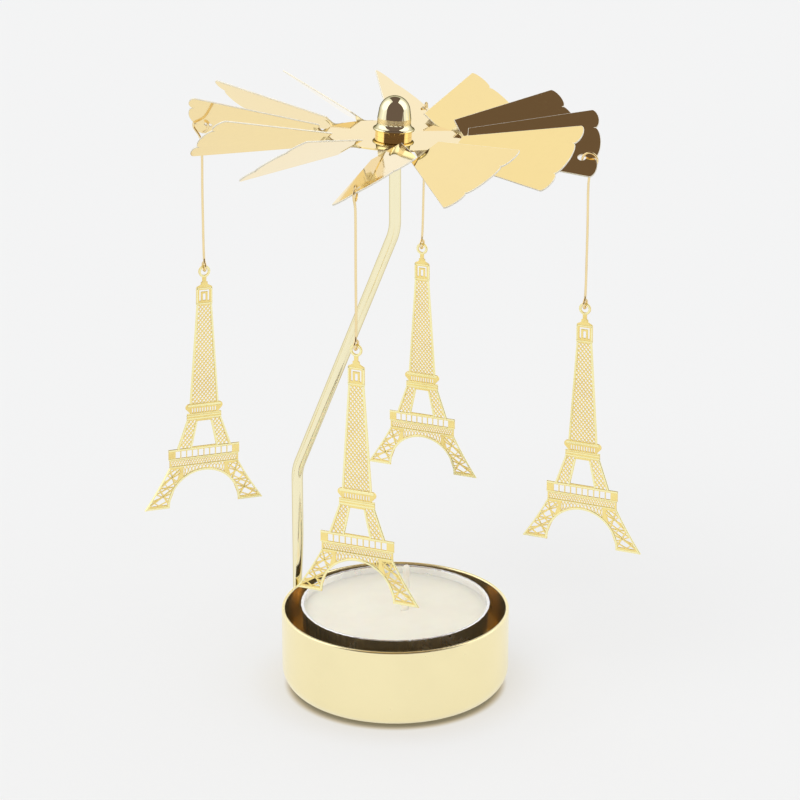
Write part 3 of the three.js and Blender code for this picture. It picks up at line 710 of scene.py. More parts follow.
TINPLATE = MetalFinish(
    "tinplate", (0.68, 0.69, 0.71), (0.6, 0.6, 0.61), 0.3, 0.1, 0.01 * MM, 1.0, 0.3)
SEAT_BRASS = MetalFinish(
    "seat_brass", (0.76, 0.57, 0.27), (0.62, 0.45, 0.22), 0.28, 0.1, 0.006 * MM, 1.0, 0.3)
WAX = SoftFinish(
    "candle_wax", (0.96, 0.92, 0.8), (0.93, 0.89, 0.78), (160.0, 4.0, 0.55), (0.38, 0.5),
    0.35, (0.9, 0.7, 0.5), 2.5 * MM, (420.0, 3.0, 0.5), 0.08 * MM, 0.6)
COTTON = SoftFinish(
    "cotton_wick", (0.95, 0.87, 0.75), (1.0, 0.95, 0.85), (5200.0, 4.0, 0.7), (0.6, 0.6),
    0.5, (1.0, 0.85, 0.65), 1.2 * MM, (5200.0, 4.0, 0.7), 0.06 * MM, 0.8, 0.3, (1.0, 1.0, 0.25))


# Sub-assemblies


@dataclass
class BaseCup:
    """The pressed cup, satin outside and polished inside."""

    wall: float = 0.7 * MM
    edge_radius: float = 4.4 * MM
    lip_seam_deg: float = 165
    segments: int = 192

    def profile(self) -> tuple:
        """The cup's section, from the middle to the lip and back.

        Returns:
            The outer and the inner run, as radius and height of each point.
        """
        _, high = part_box("base_cup")
        radius, top, lip = high.x, high.z, self.wall / 2
        heights, middle = np.array([top / 2, top - 2 * lip]), (radius - lip, top - lip)
        outer = cup_run(radius, 0, self.edge_radius, 0, 14, heights)
        inner = cup_run(radius, 0, self.edge_radius, self.wall, 10, heights)
        return (np.vstack([outer, arc(middle, lip, 0, self.lip_seam_deg, 9)]),
                np.vstack([arc(middle, lip, self.lip_seam_deg, 180, 1), inner[::-1]]))

    def build(self, outside: Material, polished: Material) -> None:
        """Makes the cup.

        Args:
            outside: finish of the outer run.
            polished: finish of the inner run.
        """
        outer, inside = self.profile()
        patches = [turned(outer, self.segments), turned(inside, self.segments, 1)]
        make_piece("cup_shell", patches, [outside, polished], Part.BASE.value, "base_cup", 35)


@dataclass
class SupportArm:
    """The round rod: a half-round foot on the cup's wall, two bends and a needle point."""

    radius: float = 1.13 * MM
    foot_z: float = 5 * MM
    facet_foot_z: float = 17 * MM
    facet_top_z: float = 30.5 * MM
    facet_depth_share: float = 0.25
    facet_crown: float = 0.2
    first_elbow_z: float = 41 * MM
    second_elbow_z: float = 95 * MM
    bend_setback: float = 2.0 * MM
    point_length: float = 4 * MM
    tip_radius: float = 0.12 * MM
    facet_columns: int = 12
    round_columns: int = 52
    foot_points: int = 60
    bend_points: int = 13
    arm_points: int = 12
    needle_points: int = 10

    def foot(self) -> Array:
        """The foot's middle seen from above: it touches its box at the left and behind."""
        low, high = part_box("support_arm")
        return np.array([low.x + self.radius, high.y - self.radius])

    def route(self) -> Array:
        """The rod's middle line, with a parabola through each bend.

        Returns:
            Distance from the axis and height of each point.
        """
        foot, top = np.hypot(*self.foot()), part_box("support_arm")[1].z
        needle = np.array([0, top - self.point_length])
        corners = np.array([[foot, self.foot_z], [foot, self.first_elbow_z], [0, self.second_elbow_z], [0, top]])
        runs = [np.linspace(corners[0], corners[1] - [0, self.bend_setback], self.foot_points)]
        for before, corner, after in zip(corners, corners[1:], corners[2:]):
            back, on = self.bend_setback * unit(np.array([before, after]) - corner)
            t = np.linspace(0, 1, self.bend_points)[1:, None]
            runs.append(corner + (1 - t) ** 2 * back + t ** 2 * on)
            stop = after - on if after[1] < top else needle
            runs.append(np.linspace(corner + on, stop, self.arm_points)[1:])
        runs.append(np.linspace(needle, [0, top - self.tip_radius], self.needle_points)[1:])
        return np.vstack(runs)

    def build(self, finish: Material) -> None:
        """Makes the rod.

        A ring is a circle cut by a slightly crowned facet on the side of the cup. At y across the facet it
        lies h - c y^2 from the middle line, where c is the crown over the radius and h the facet's depth.

        Args:
            finish: the rod's finish.
        """
        distance, height = self.route().T
        out = np.array([*unit(self.foot()), 0])
        path = distance[:, None] * out + height[:, None] * UP
        taper = np.clip((height[-1] - height) / self.point_length, 0, 1)
        radius = self.tip_radius + (self.radius - self.tip_radius) * taper
        fading = np.clip((height - self.facet_foot_z) / (self.facet_top_z - self.facet_foot_z), 0, 1)
        facet = radius * (self.facet_depth_share + (1 - self.facet_depth_share) * fading)
        crown = self.facet_crown / radius
        slope = 1 - 2 * facet * crown
        root = np.sqrt(slope ** 2 + 4 * crown ** 2 * np.maximum(radius ** 2 - facet ** 2, 0))
        half = np.sqrt(np.maximum(root - slope, 0) / 2) / crown
        across = half[:, None] * np.linspace(-1, 1, self.facet_columns + 1)
        depth = facet[:, None] - crown[:, None] * across ** 2
        on_facet = np.arctan2(across, depth)
        reach = on_facet[:, -1:]
        on_round = reach + (TURN - 2 * reach) * np.linspace(0, 1, self.round_columns + 1)[1:-1]
        reaches = np.hstack([np.hypot(across, depth), np.broadcast_to(radius[:, None], on_round.shape)])
        patch = swept(path, np.broadcast_to(-out, path.shape), np.hstack([on_facet, on_round]), reaches)
        make_piece("rod", [patch], [finish], Part.BASE.value, "support_arm", 22)


@dataclass
class Tealight:
    """The tealight: a crinkled foil cup, poured wax and a twisted wick."""

    foil: float = 0.16 * MM
    edge_radius: float = 1.2 * MM
    rim_overhang: float = 0.4 * MM
    crinkle_height: float = 0.07 * MM
    wax_play: float = 0.03 * MM
    wax_dip: float = 0.1 * MM
    wax_ripple: float = 0.05 * MM
    meniscus: float = 0.45 * MM
    meniscus_width: float = 0.6 * MM
    segments: int = 288
    wax_segments: int = 128
    wick_radius: float = 0.8 * MM
    wick_segments: int = 36
    ply_share: float = 0.07
    ply_pitch: float = 2.6 * MM
    plies: int = 3

    def crinkle(self, angle: Array, height: Array) -> Array:
        """How far the foil stands out: a sum of waves round it, strongest at the rim.

        Args:
            angle: about Z.
            height: as a share of the foil's.

        Returns:
            The shift outwards.
        """
        waves = (
            0.5 * np.sin(61 * angle + 1.3 * np.sin(7 * angle)) + 0.3 * np.sin(37 * angle + 2.1)
            + 0.35 * np.sin(5 * angle + 0.4) + 0.25 * np.sin(13 * angle + 1.9)
        )
        return self.crinkle_height * (waves * np.clip(height, 0, 1) ** 2 - 1)

    def build_foil(self, finish: Material, outside: Material) -> None:
        """Makes the foil cup.

        Args:
            finish: the bright foil's finish.
            outside: finish of the wall below the rim's outside.
        """
        low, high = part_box("tealight_cup")
        rim, floor, top, t = high.x, low.z, high.z, self.foil
        body = rim - self.rim_overhang
        heights = np.linspace(floor + 2 * self.edge_radius, top - 3 * t, 8)
        outer, inner = (cup_run(body, floor, self.edge_radius, inset, 6, heights) for inset in (0, t))
        wall = np.vstack([outer, [[rim - t, top - 2 * t]]])
        rolled = arc((rim - t, top - t), t, -90, 90, 6)
        bright = np.vstack([rolled, [[body, top - 0.3 * t], [body - t, top - t]], inner[::-1]])
        patches = [turned(bright, self.segments), turned(wall, self.segments, 1)]
        for patch in patches:
            x, y, z = patch.points.T
            distance = np.hypot(x, y)
            crinkle = self.crinkle(np.arctan2(y, x), (z - floor) / (top - floor))
            shift = np.where(distance > body * 0.9, crinkle, 0)
            patch.points[:, :2] *= 1 + (shift / np.maximum(distance, MM))[:, None]
        make_piece("foil_cup", patches, [finish, outside], Part.TEALIGHT.value, "tealight_cup", 50)

    def build_wax(self, finish: Material) -> None:
        """Makes the wax: a cylinder whose top dips to the middle and climbs the foil at its edge.

        Args:
            finish: the wax's finish.
        """
        low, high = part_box("tealight_wax")
        foot, top = low.z, high.z
        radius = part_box("tealight_cup")[1].x - self.rim_overhang - self.foil - self.wax_play
        share = np.concatenate([np.linspace(1, 0.9, 14), np.linspace(0.88, 0.05, 30)])
        climb = self.meniscus * (np.exp(-(1 - share) * radius / self.meniscus_width) - 1)
        level = top - self.wax_dip * (1 - share ** 2) + climb
        profile = np.vstack([
            [[0, foot], [radius * 0.9, foot], [radius, foot + self.edge_radius]],
            joined(share * radius, level),
            [[0, level[-1]]],
        ])
        patch = turned(profile, self.wax_segments)
        x, y, z = patch.points.T
        ripple = np.sin(x / (3.1 * MM) + 0.7) * np.sin(y / (2.7 * MM) + 0.2) * np.exp(-((x / radius) ** 2))
        patch.points[:, 2] = z + np.where(z > foot + 2 * self.edge_radius, self.wax_ripple * ripple, 0)
        make_piece("wax_fill", [patch], [finish], Part.TEALIGHT.value, "tealight_wax", 60)

    def build_wick(self, finish: Material) -> None:
        """Makes the wick: a tube whose outline has a hump for each ply, turning as it climbs.

        Args:
            finish: the wick's finish.
        """
        low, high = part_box("tealight_wick")
        reach, level = high.x - self.wick_radius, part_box("tealight_wax")[1].z
        marks = np.array([
            [0, 0, low.z], [0, 0, (low.z + level) / 2], [reach * 0.8, reach * 0.3, level],
            [reach * 0.92, reach * 0.3, (level + high.z) / 2], [reach, reach * 0.25, high.z - self.wick_radius],
        ])
        path = smooth_path(marks, 26)
        run = np.concatenate([[0], np.cumsum(np.linalg.norm(np.diff(path, axis=0), axis=1))])
        angle = np.linspace(0, TURN, self.wick_segments, endpoint=False)
        hump = np.cos(self.plies * angle[None, :] - TURN * run[:, None] / self.ply_pitch)
        radius = self.wick_radius * (1 - self.ply_share + self.ply_share * hump)
        side = np.broadcast_to(np.array([0.0, 1.0, 0.0]), path.shape)
        patch = swept(path, side, angle, radius)
        make_piece("wick", [patch], [finish], Part.TEALIGHT.value, "tealight_wick", 70)


@dataclass
class Rotor:
    """The rotor: one sheet cut and twisted into a disc with blades, and the polished cap on it."""

    disc_z: float = 113.6 * MM
    sheet: float = 0.3 * MM
    sheet_edge: float = 0.08 * MM
    blades: int = 12
    pitch_deg: float = 33.6
    half_angle_deg: float = 13.2
    first_azimuth_deg: float = -125.2
    corner_radius: float = 38.2 * MM
    disc_radius: float = 13 * MM
    hole_radius: float = 2.4 * MM
    neck_length: float = 1.4 * MM
    neck_width: float = 3.4 * MM
    neck_grid: tuple = (22, 7)
    lobe_rise: float = 1 * MM
    lobe_edges: tuple = (-1, -0.46, 0.46, 1)
    lobe_steps: int = 22
    lean_deg: float = 3.4
    lean_downhill_deg: float = 33
    sets_deg: tuple = (2.4, -0.5, 0.9, 5.1, 2.8, 2.3, 2.8, 0.2, 1.4, 2.5, 3.3, 3.1)
    hanger_blades: tuple = (2, 5, 8, 11)
    hanger_hole: float = 0.75 * MM
    hanger_bridge: float = 1.5 * MM
    segments: int = 160

    def seat(self) -> Array:
        """How the rotor sits on the needle point: its own frame, leaning about that point.

        Returns:
            A 4x4 matrix.
        """
        pivot = JOINTS["rotor_spin"]["pos_m"][2]
        downhill = math.radians(self.lean_downhill_deg)
        axis = Vector((-math.sin(downhill), math.cos(downhill), 0))
        lean = Matrix.Rotation(math.radians(self.lean_deg), 4, axis)
        seated = Matrix.Translation((0, 0, self.disc_z - pivot))
        return np.array(Matrix.Translation((0, 0, pivot)) @ lean @ seated)

    def azimuth(self, number: int) -> Matrix:
        """The turn about Z that brings a blade, numbered from 1, to its place."""
        return Matrix.Rotation(math.radians(self.first_azimuth_deg + (number - 1) * 360 / self.blades), 4, "Z")

    def blade_frame(self, number: int) -> Array:
        """Where a blade lies in the rotor: turned to its place, bent up at the root and pitched.

        Args:
            number: the blade's number, from 1.

        Returns:
            A 4x4 matrix.
        """
        root = Matrix.Translation((self.disc_radius + self.neck_length, 0, 0))
        bend = Matrix.Rotation(-math.radians(self.sets_deg[number - 1]), 4, "Y")
        pitch = Matrix.Rotation(math.radians(self.pitch_deg), 4, "X")
        return np.array(self.azimuth(number) @ root @ bend @ root.inverted() @ pitch)

    def blade_point(self, radius: Array | float, share: Array | float) -> Array:
        """Points of the flat blade at radii and at shares of its half angle."""
        angle = math.radians(self.half_angle_deg) * np.asarray(share)
        return joined(radius * np.cos(angle), radius * np.sin(angle))

    def blade_outline(self) -> Array:
        """Round the flat blade: half-ellipse lobes on the corner circle, then the straight root.

        Returns:
            Points along and across the blade.
        """
        turn = np.linspace(0, math.pi, self.lobe_steps, endpoint=False)
        edges = np.array(self.lobe_edges)[:, None]
        share = edges[:-1] + np.diff(edges, axis=0) * (1 - np.cos(turn)) / 2
        lobes = self.blade_point(self.corner_radius + self.lobe_rise * np.sin(turn), share)
        root = self.disc_radius + self.neck_length
        corners = self.blade_point(np.array([self.corner_radius, root, root]), np.array([1, 1, -1]))
        return np.vstack([lobes.reshape(-1, 2), corners])

    def hanger_hole_outline(self) -> Array:
        """Round the hole inside the notch on a blade's lower side."""
        depth = self.corner_radius - self.hanger_bridge - self.hanger_hole
        return arc(self.blade_point(depth, self.lobe_edges[1]), self.hanger_hole, 0, 360, 28)[:-1]

    def blade(self, number: int) -> list:
        """One blade and its twisted neck.

        Args:
            number: the blade's number, from 1.

        Returns:
            Their patches in the rotor's frame.
        """
        holes = [self.hanger_hole_outline()] if number in self.hanger_blades else []
        plate = flat_plate(self.blade_outline(), holes, self.sheet, self.sheet_edge, 1)
        upright = np.array(Matrix.Rotation(-math.pi / 2, 4, "X"))
        return [plate.placed(upright).placed(self.blade_frame(number)), self.neck(number)]

    def neck(self, number: int) -> Patch:
        """The neck from the disc to a blade: a strip that turns about its middle line by a smooth step.

        Args:
            number: the blade's number, from 1.

        Returns:
            The strip in the rotor's frame.
        """
        overlap = 0.5 * self.neck_length
        rows, columns = self.neck_grid
        x = np.linspace(self.disc_radius - overlap, self.disc_radius + self.neck_length + overlap, rows)[:, None]
        y = np.linspace(-0.5, 0.5, columns) * self.neck_width
        along = np.clip((x - self.disc_radius) / self.neck_length, 0, 1)
        turn = math.radians(self.pitch_deg) * along * along * (3 - 2 * along)
        middle = joined(x, np.cos(turn) * y, np.sin(turn) * y)
        return slab(middle, 0.96 * self.sheet, 2).placed(np.array(self.azimuth(number)))

    def disc(self) -> Patch:
        """The disc in the middle with its hole and rounded edges.

        Returns:
            The disc in the rotor's frame.
        """
        half, edge, inner, outer = self.sheet / 2, self.sheet_edge, self.hole_radius, self.disc_radius
        return turned(np.vstack([
            [[inner, half - edge], [inner + edge, half]],
            joined(np.linspace(inner + 2 * edge, outer - edge, 10), half),
            [[outer, half - edge], [outer, edge - half], [outer - edge, -half]],
            [[inner + edge, -half], [inner, edge - half], [inner, half - edge]],
        ]), self.segments)

    def build(self, sheet: Material, cut: Material, cap_finishes: list) -> None:
        """Makes the rotor's sheet and its cap.

        Args:
            sheet: finish of the sheet.
            cut: finish of its cut edges.
            cap_finishes: finishes of the cap's polished runs and of its band, which is also the necks'; the cap's
                collar has the sheet's.
        """
        seat = self.seat()
        patches = [self.disc(), *(patch for number in range(1, self.blades + 1) for patch in self.blade(number))]
        finishes = [sheet, cut, cap_finishes[1]]
        make_piece("rotor_sheet", [patch.placed(seat) for patch in patches], finishes, Part.ROTOR.value,
                   "rotor_plate", 25)
        cap = [turned(run, self.segments, finish).placed(seat) for run, finish in HubCap().runs()]
        make_piece("bell_cap", cap, [*cap_finishes, sheet], Part.ROTOR.value, "hub_cap", 8)


@dataclass
class HubCap:
    """The bell cap: a half ball on a cone and a wider band that flares into a brim above a narrower collar."""

    foot: float = 0.45 * MM
    collar_foot: float = 0.16 * MM
    ball_radius: float = 2.98 * MM
    ball_foot_deg: float = 9
    height: float = 7.3 * MM
    skirt_radius: float = 3.35 * MM
    skirt_rise: float = 0.8 * MM
    band_radius: float = 3.2 * MM
    band_top: float = 3.05 * MM
    brim_radius: float = 3.95 * MM
    brim_depth: float = 0.5 * MM
    flare_top: float = 2.1 * MM
    flare_power: float = 2.4
    collar_radius: float = 3.5 * MM
    collar_height: float = 0.7 * MM
    wall: float = 0.4 * MM

    def runs(self) -> list:
        """The cap's section in runs, outside up and inside down.

        Returns:
            Each run as radius and height of its points, with the number of its finish.
        """
        ball = (0, self.height - self.ball_radius)
        brim_top, lip = self.collar_height + self.brim_depth, self.brim_depth / 2
        seat = self.collar_foot - self.foot
        flare = np.linspace(0, 1, 14)[1:]
        outside = joined(
            self.band_radius + (self.brim_radius - lip - self.band_radius) * (1 - flare) ** self.flare_power,
            brim_top + (self.flare_top - brim_top) * flare,
        )
        collar = np.array([[self.collar_radius, seat], [self.collar_radius, self.collar_height]])
        rim = arc((self.brim_radius - lip, self.collar_height + lip), lip, -90, 90, 8)
        brim = np.vstack([collar[-1:], rim, outside])
        band = np.array([[self.band_radius, self.flare_top], [self.band_radius, self.band_top]])
        dome = np.vstack([band[-1:], arc(ball, self.ball_radius, self.ball_foot_deg, 90, 40)])
        inside = np.vstack([
            dome[-1:],
            arc(ball, self.ball_radius - self.wall, 90, 0, 16),
            [[self.skirt_radius - self.wall, brim_top + self.skirt_rise], [self.collar_radius - self.wall, seat]],
            collar[:1],
        ])
        runs = ((collar, 2), (brim, 0), (band, 1), (dome, 0), (inside, 0))
        return [(run + [0, self.foot], finish) for run, finish in runs]


@dataclass
class Hanger:
    """A wire with an eye at each end: the top one round the bridge in a blade, the low one in a charm's ring."""

    place: Place
    radius: float = 0.225 * MM
    drop: float = 28.2 * MM
    top_eye: float = 1.42 * MM
    top_eye_deg: tuple = (252, -40)
    low_eye: float = 0.82 * MM
    low_eye_deg: tuple = (52, -242)
    eye_steps: int = 20
    per_span: int = 5
    segments: int = 16

    def build(self, finish: Material) -> None:
        """Makes the wire; between the eyes its plane turns from the blade's way out to the charm's face.

        Args:
            finish: the wire's finish.
        """
        place = self.place.value
        swing, charm = JOINTS[f"hanger_{place}_swing"], JOINTS[f"charm_{place}_swing"]
        middle = np.array(swing["pos_m"])
        out, face = np.cross(UP, swing["axis"]), np.cross(charm["axis"], UP)
        top = arc((0, 0), self.top_eye, *self.top_eye_deg, self.eye_steps)
        low = arc((0, -self.drop), self.low_eye, *self.low_eye_deg, self.eye_steps)
        neck = np.array([[0.25, -1.4], [0.0, -2.2]]) * self.top_eye
        end = np.array([[0.0, 2.6], [0.2, 1.5]]) * self.low_eye - [0, self.drop]
        across = np.vstack([top, neck, [[0, -self.drop / 2]], end, low])
        turned_over = np.concatenate([np.zeros(len(top) + len(neck)), [0.5], np.ones(len(end) + len(low))])
        ways = unit(out * (1 - turned_over[:, None]) + face * turned_over[:, None])
        hang = Vector(np.array(charm["pos_m"]) - middle)
        lean = np.array(Vector((0, 0, -1)).rotation_difference(hang).to_matrix())
        marks = middle + (across[:, :1] * ways + across[:, 1:] * UP) @ lean.T
        path = smooth_path(marks, self.per_span)
        share = np.interp(np.arange(len(path)) / self.per_span, np.arange(len(marks)), turned_over)[:, None]
        side = np.cross(out * (1 - share) + face * share, UP)
        patch = swept(path, side, np.linspace(0, TURN, self.segments, endpoint=False), self.radius)
        make_piece(f"wire_{place}", [patch], [finish], f"hanger_{place}", f"hanger_wire_{place}", 60)


@dataclass
class TowerCharm:
    """A flat etched lattice tower: a thin plate with openings, bridged by nets of bars, with rails standing up.

    Its points are across and up from the ring's middle, and its tops and feet are depths below it.
    """

    place: Place
    sheet: float = 0.35 * MM
    ground: float = 0.26 * MM
    plate_edge: float = 0.03 * MM
    height: float = 48.5 * MM
    ring_outer: float = 1.2 * MM
    ring_hole: float = 0.75 * MM
    neck_width: float = 0.8 * MM
    lantern_width: float = 3.3 * MM
    lantern_top: float = 2.8 * MM
    shaft_top: float = 6.7 * MM
    shaft_top_width: float = 3.15 * MM
    shaft_foot_width: float = 6 * MM
    upper_deck_top: float = 27.06 * MM
    upper_deck_width: float = 7.75 * MM
    slots: int = 10
    slot_bar: float = 0.26 * MM
    middle_top: float = 30.36 * MM
    middle_top_width: float = 7.15 * MM
    middle_foot_width: float = 11.3 * MM
    middle_gap_top: float = 2.75 * MM
    middle_gap_foot: float = 5.1 * MM
    lower_deck_top: float = 36.23 * MM
    lower_deck_width: float = 14.85 * MM
    deck_end: float = 1.35 * MM
    windows: int = 10
    window_top: float = 0.47 * MM
    window_foot: float = 1.9 * MM
    legs_top: float = 40.11 * MM
    legs_top_width: float = 14.6 * MM
    feet_width: float = 24.9 * MM
    arch_radius: float = 7.26 * MM
    spandrel_deg: tuple = (125, 55)
    spandrel_cells: int = 12
    leg_spread_shares: tuple = (0.85, 0.15)
    rail: float = 0.4 * MM
    net: float = 0.22 * MM
    fine_net: float = 0.14 * MM
    net_depth_shares: tuple = (0.85, 0.79)
    post: float = 0.18 * MM
    leg_panels: tuple = (0.04, 0.5, 0.94)
    leg_strut: float = 0.03
    brace: float = 0.34 * MM
    leg_upright: float = 4.9005 * MM

    def leg_depth(self, share: Array) -> Array:
        """How far down a share of the legs' height is."""
        return self.legs_top + (self.height - self.legs_top) * share

    def leg_outer(self, share: Array) -> Array:
        """Half the width over the legs at a share of their height, a little hollow on the way down."""
        steady, growing = self.leg_spread_shares
        return (self.legs_top_width + (self.feet_width - self.legs_top_width) * (steady + growing * share) * share) / 2

    def leg_inner(self, share: Array) -> Array:
        """Half the width between the legs' panels at a share of their height: the arch, or an upright above it."""
        reach, rise = self.arch_radius + 0.5 * self.rail, self.height - self.leg_depth(share)
        return np.maximum(np.sqrt(np.maximum(0, reach ** 2 - rise ** 2)), self.leg_upright)

    def arch(self, out: float, start: float, end: float, steps: int) -> Array:
        """Points of an arc round the arch, which lies out of its edge by a distance."""
        return arc((0, -self.height), self.arch_radius + out, start, end, steps)

    def outline(self) -> Array:
        """Round the charm: the ring, down one side, round the arch and up the other side.

        Returns:
            Its points.
        """
        neck, lantern, deck = self.neck_width, self.lantern_width / 2, self.upper_deck_width / 2
        top, shaft, upper, middle = self.lantern_top, self.shaft_top, self.upper_deck_top, self.middle_top_width / 2
        rise, lower, wide = self.middle_top - upper, self.lower_deck_top, self.lower_deck_width / 2
        cornice, sill, share = 0.22 * rise, lower + self.window_foot, np.linspace(0, 1, 7)
        side = np.vstack([
            [[neck / 2, top - 0.7 * MM], [0.85 * neck, top - 0.65 * MM], [0.85 * neck, top - 0.2 * MM]],
            [[neck, top - 0.1 * MM], [lantern - 0.5 * MM, top + 0.1 * MM], [lantern - 0.1 * MM, top + 0.3 * MM]],
            [[lantern, top + 0.6 * MM], [lantern, shaft - 0.3 * MM], [lantern - 0.1 * MM, shaft]],
            [[self.shaft_top_width / 2, shaft], [self.shaft_foot_width / 2, upper]],
            arc((deck - cornice, upper + cornice), cornice, -90, 60, 6),
            [[deck - 0.3 * rise, upper + 0.62 * rise], [middle, upper + 0.7 * rise], [middle, self.middle_top]],
            [[self.middle_foot_width / 2, lower], [wide, lower], [wide, sill + 0.1 * MM]],
            [[wide - 0.2 * MM, sill + 0.3 * MM], [wide - 0.2 * MM, self.legs_top - 0.1 * MM]],
            joined(self.leg_outer(share), self.leg_depth(share)),
        ])
        opening = math.degrees(math.acos(neck / 2 / self.ring_outer))
        ring = arc((0, 0), self.ring_outer, -opening, 180 + opening, 26)
        return np.vstack([ring, -side, self.arch(0, 180, 0, 48), (side * [1, -1])[::-1]])

    def panels(self) -> list:
        """The panels that hold nets: the shaft, the frieze and both sides of the middle.

        Returns:
            For each panel its corners and its bars' spacing, slope in degrees and width.
        """
        inset, half = 0.9 * self.rail, self.lower_deck_width / 2 - 0.55 * MM
        shaft = trapezium(self.shaft_top_width / 2 - inset, self.shaft_top + 0.15 * MM,
                          self.shaft_foot_width / 2 - inset, self.upper_deck_top)
        frieze = trapezium(half, self.lower_deck_top + self.window_foot + 0.5 * MM, half, self.legs_top - 0.3 * MM)
        top, foot = self.middle_top + 0.1 * MM, self.lower_deck_top
        middle = np.array([
            [self.middle_gap_top / 2 + inset, -top], [self.middle_top_width / 2 - inset, -top],
            [self.middle_foot_width / 2 - inset - 0.2 * MM, -foot], [self.middle_gap_foot / 2 + inset, -foot],
        ])
        return [
            (shaft, 0.58 * MM, 50, 0.95 * self.net), (frieze, 0.46 * MM, 58, 1.1 * self.fine_net),
            *((middle * [side, 1], 0.6 * MM, 50, 0.95 * self.net) for side in SIDES),
        ]

    def leg_holes(self) -> list:
        """The panels of the legs.

        Returns:
            Four corners of each: the upper inner and outer ones, then the lower outer and inner ones.
        """
        holes = []
        for upper, lower in zip(self.leg_panels, self.leg_panels[1:]):
            share = np.array([upper, upper, lower - self.leg_strut, lower - self.leg_strut])
            outer = self.leg_outer(share) - 0.8 * self.rail
            across = np.where([True, False, False, True], self.leg_inner(share), outer)
            holes += [joined(side * across, -self.leg_depth(share)) for side in SIDES]
        return holes

    def leg_bars(self) -> list:
        """Bars in the legs' panels: two that cross, and finer ones from their middle to each side's thirds.

        Returns:
            Runs of bars as two ends each, with their width and thickness. Crossing runs differ in thickness, so
            that none of their faces coincide.
        """
        runs = []
        for a, b, c, d in self.leg_holes():
            crossing, middles = (a + b + c + d) / 4, [(a + b) / 2, (d + c) / 2]
            thirds = [p + (q - p) * t for p, q in ((a, d), (b, c)) for t in (0.3, 0.7)]
            runs += [
                (np.array([[a, c], [b, d]]), self.brace, 1.05 * self.ground),
                (np.array([[crossing, p] for p in thirds]), self.net, 1.07 * self.ground),
                (np.array([*zip(middles * 2, thirds)]), self.net, 1.09 * self.ground),
            ]
        return runs

    def through_holes(self) -> list:
        """The openings of the plate: ring, lantern, panels under the nets, slots, middle gap and windows.

        Returns:
            The points round each opening.
        """
        slots, deck = self.upper_deck_top + 0.95 * MM, self.lower_deck_top
        ceiling = self.legs_top - 0.08 * MM
        under = self.arch(0.75 * self.rail, *self.spandrel_deg, 24)
        return [
            arc((0, 0), self.ring_hole, 0, 345, 23),
            *self.lantern_holes(),
            *(corners for corners, *_ in self.panels()),
            *self.leg_holes(),
            trapezium(
                self.middle_gap_top / 2, self.middle_top + self.rail, self.middle_gap_foot / 2, deck - self.rail / 2),
            np.vstack([under, [[under[-1, 0], -ceiling], [under[0, 0], -ceiling]]]),
            *self.row(self.slots, self.upper_deck_width - 2.4 * MM, self.slot_bar, slots, slots + 0.9 * MM),
            *self.row(self.windows, self.lower_deck_width - 2 * self.deck_end, self.post, deck + self.window_top,
                      deck + self.window_foot),
        ]

    def row(self, count: int, width: float, bar: float, top: float, foot: float) -> list:
        """A row of equal openings with bars between them.

        Args:
            count: how many openings.
            width: of the whole row.
            bar: width of each bar.
            top: depth of the openings' upper edges.
            foot: depth of their lower edges.

        Returns:
            The corners of each opening.
        """
        pitch = width / count
        middles = -width / 2 + pitch * (np.arange(count) + 0.5)
        opening = trapezium((pitch - bar) / 2, top, (pitch - bar) / 2, foot)
        return [opening + [middle, 0] for middle in middles]

    def lantern_holes(self) -> list:
        """A plain square hook of slot round a smaller opening in the lantern.

        Returns:
            The points round both openings.
        """
        top, foot = self.lantern_top + 0.95 * MM, self.shaft_top - 0.75 * MM
        half, slot = 1.05 * MM, 0.36 * MM
        hook = [[-half, -top], [half, -top], [half, -foot], [half - slot, -foot], [half - slot, -top - slot],
                [slot - half, -top - slot], [slot - half, -foot], [-half, -foot]]
        return [np.array(hook), trapezium(0.3 * MM, top + 2.1 * slot, 0.3 * MM, foot - 0.1 * MM)]

    def net_bars(self, corners: Array, spacing: float, slope_deg: float) -> Array:
        """Parallel bars across a panel, cut off at its sides.

        A bar lies on each line n . p = k s, for the normal n, the spacing s and whole numbers k. It runs from the
        last of its crossings with the sides that it goes in by to the first with those that it goes out by.

        Args:
            corners: the panel's corners in order.
            spacing: from bar to bar.
            slope_deg: of the bars.

        Returns:
            Two ends for each bar.
        """
        slope = math.radians(slope_deg)
        way, normal = np.array([math.cos(slope), math.sin(slope)]), np.array([-math.sin(slope), math.cos(slope)])
        reach = corners @ normal / spacing
        foot = np.arange(math.ceil(reach.min()), math.ceil(reach.max()))[:, None] * spacing * normal
        following = np.roll(corners, -1, axis=0)
        side = following - corners
        around = np.sum(corners[:, 0] * following[:, 1] - corners[:, 1] * following[:, 0])
        inward = joined(-side[:, 1], side[:, 0]) * np.sign(around)
        rate = inward @ way
        at = np.einsum("nsk,sk->ns", corners[None] - foot[:, None], inward) / rate
        enter = np.where(rate > 0, at, -np.inf).max(axis=1)[:, None]
        leave = np.where(rate < 0, at, np.inf).min(axis=1)[:, None]
        return np.stack([foot + enter * way, foot + leave * way], axis=1)[(leave - enter)[:, 0] > spacing / 2]

    def spandrel_bars(self) -> tuple:
        """Crossed bars between the frieze and the arch, their feet evenly round it.

        Returns:
            The falling and the rising bars, two ends for each.
        """
        lower = self.arch(0.6 * self.rail, *self.spandrel_deg, self.spandrel_cells)
        upper = joined(lower[:, 0], -(self.legs_top - 0.12 * MM))
        return np.stack([lower[:-1], upper[1:]], axis=1), np.stack([upper[:-1], lower[1:]], axis=1)

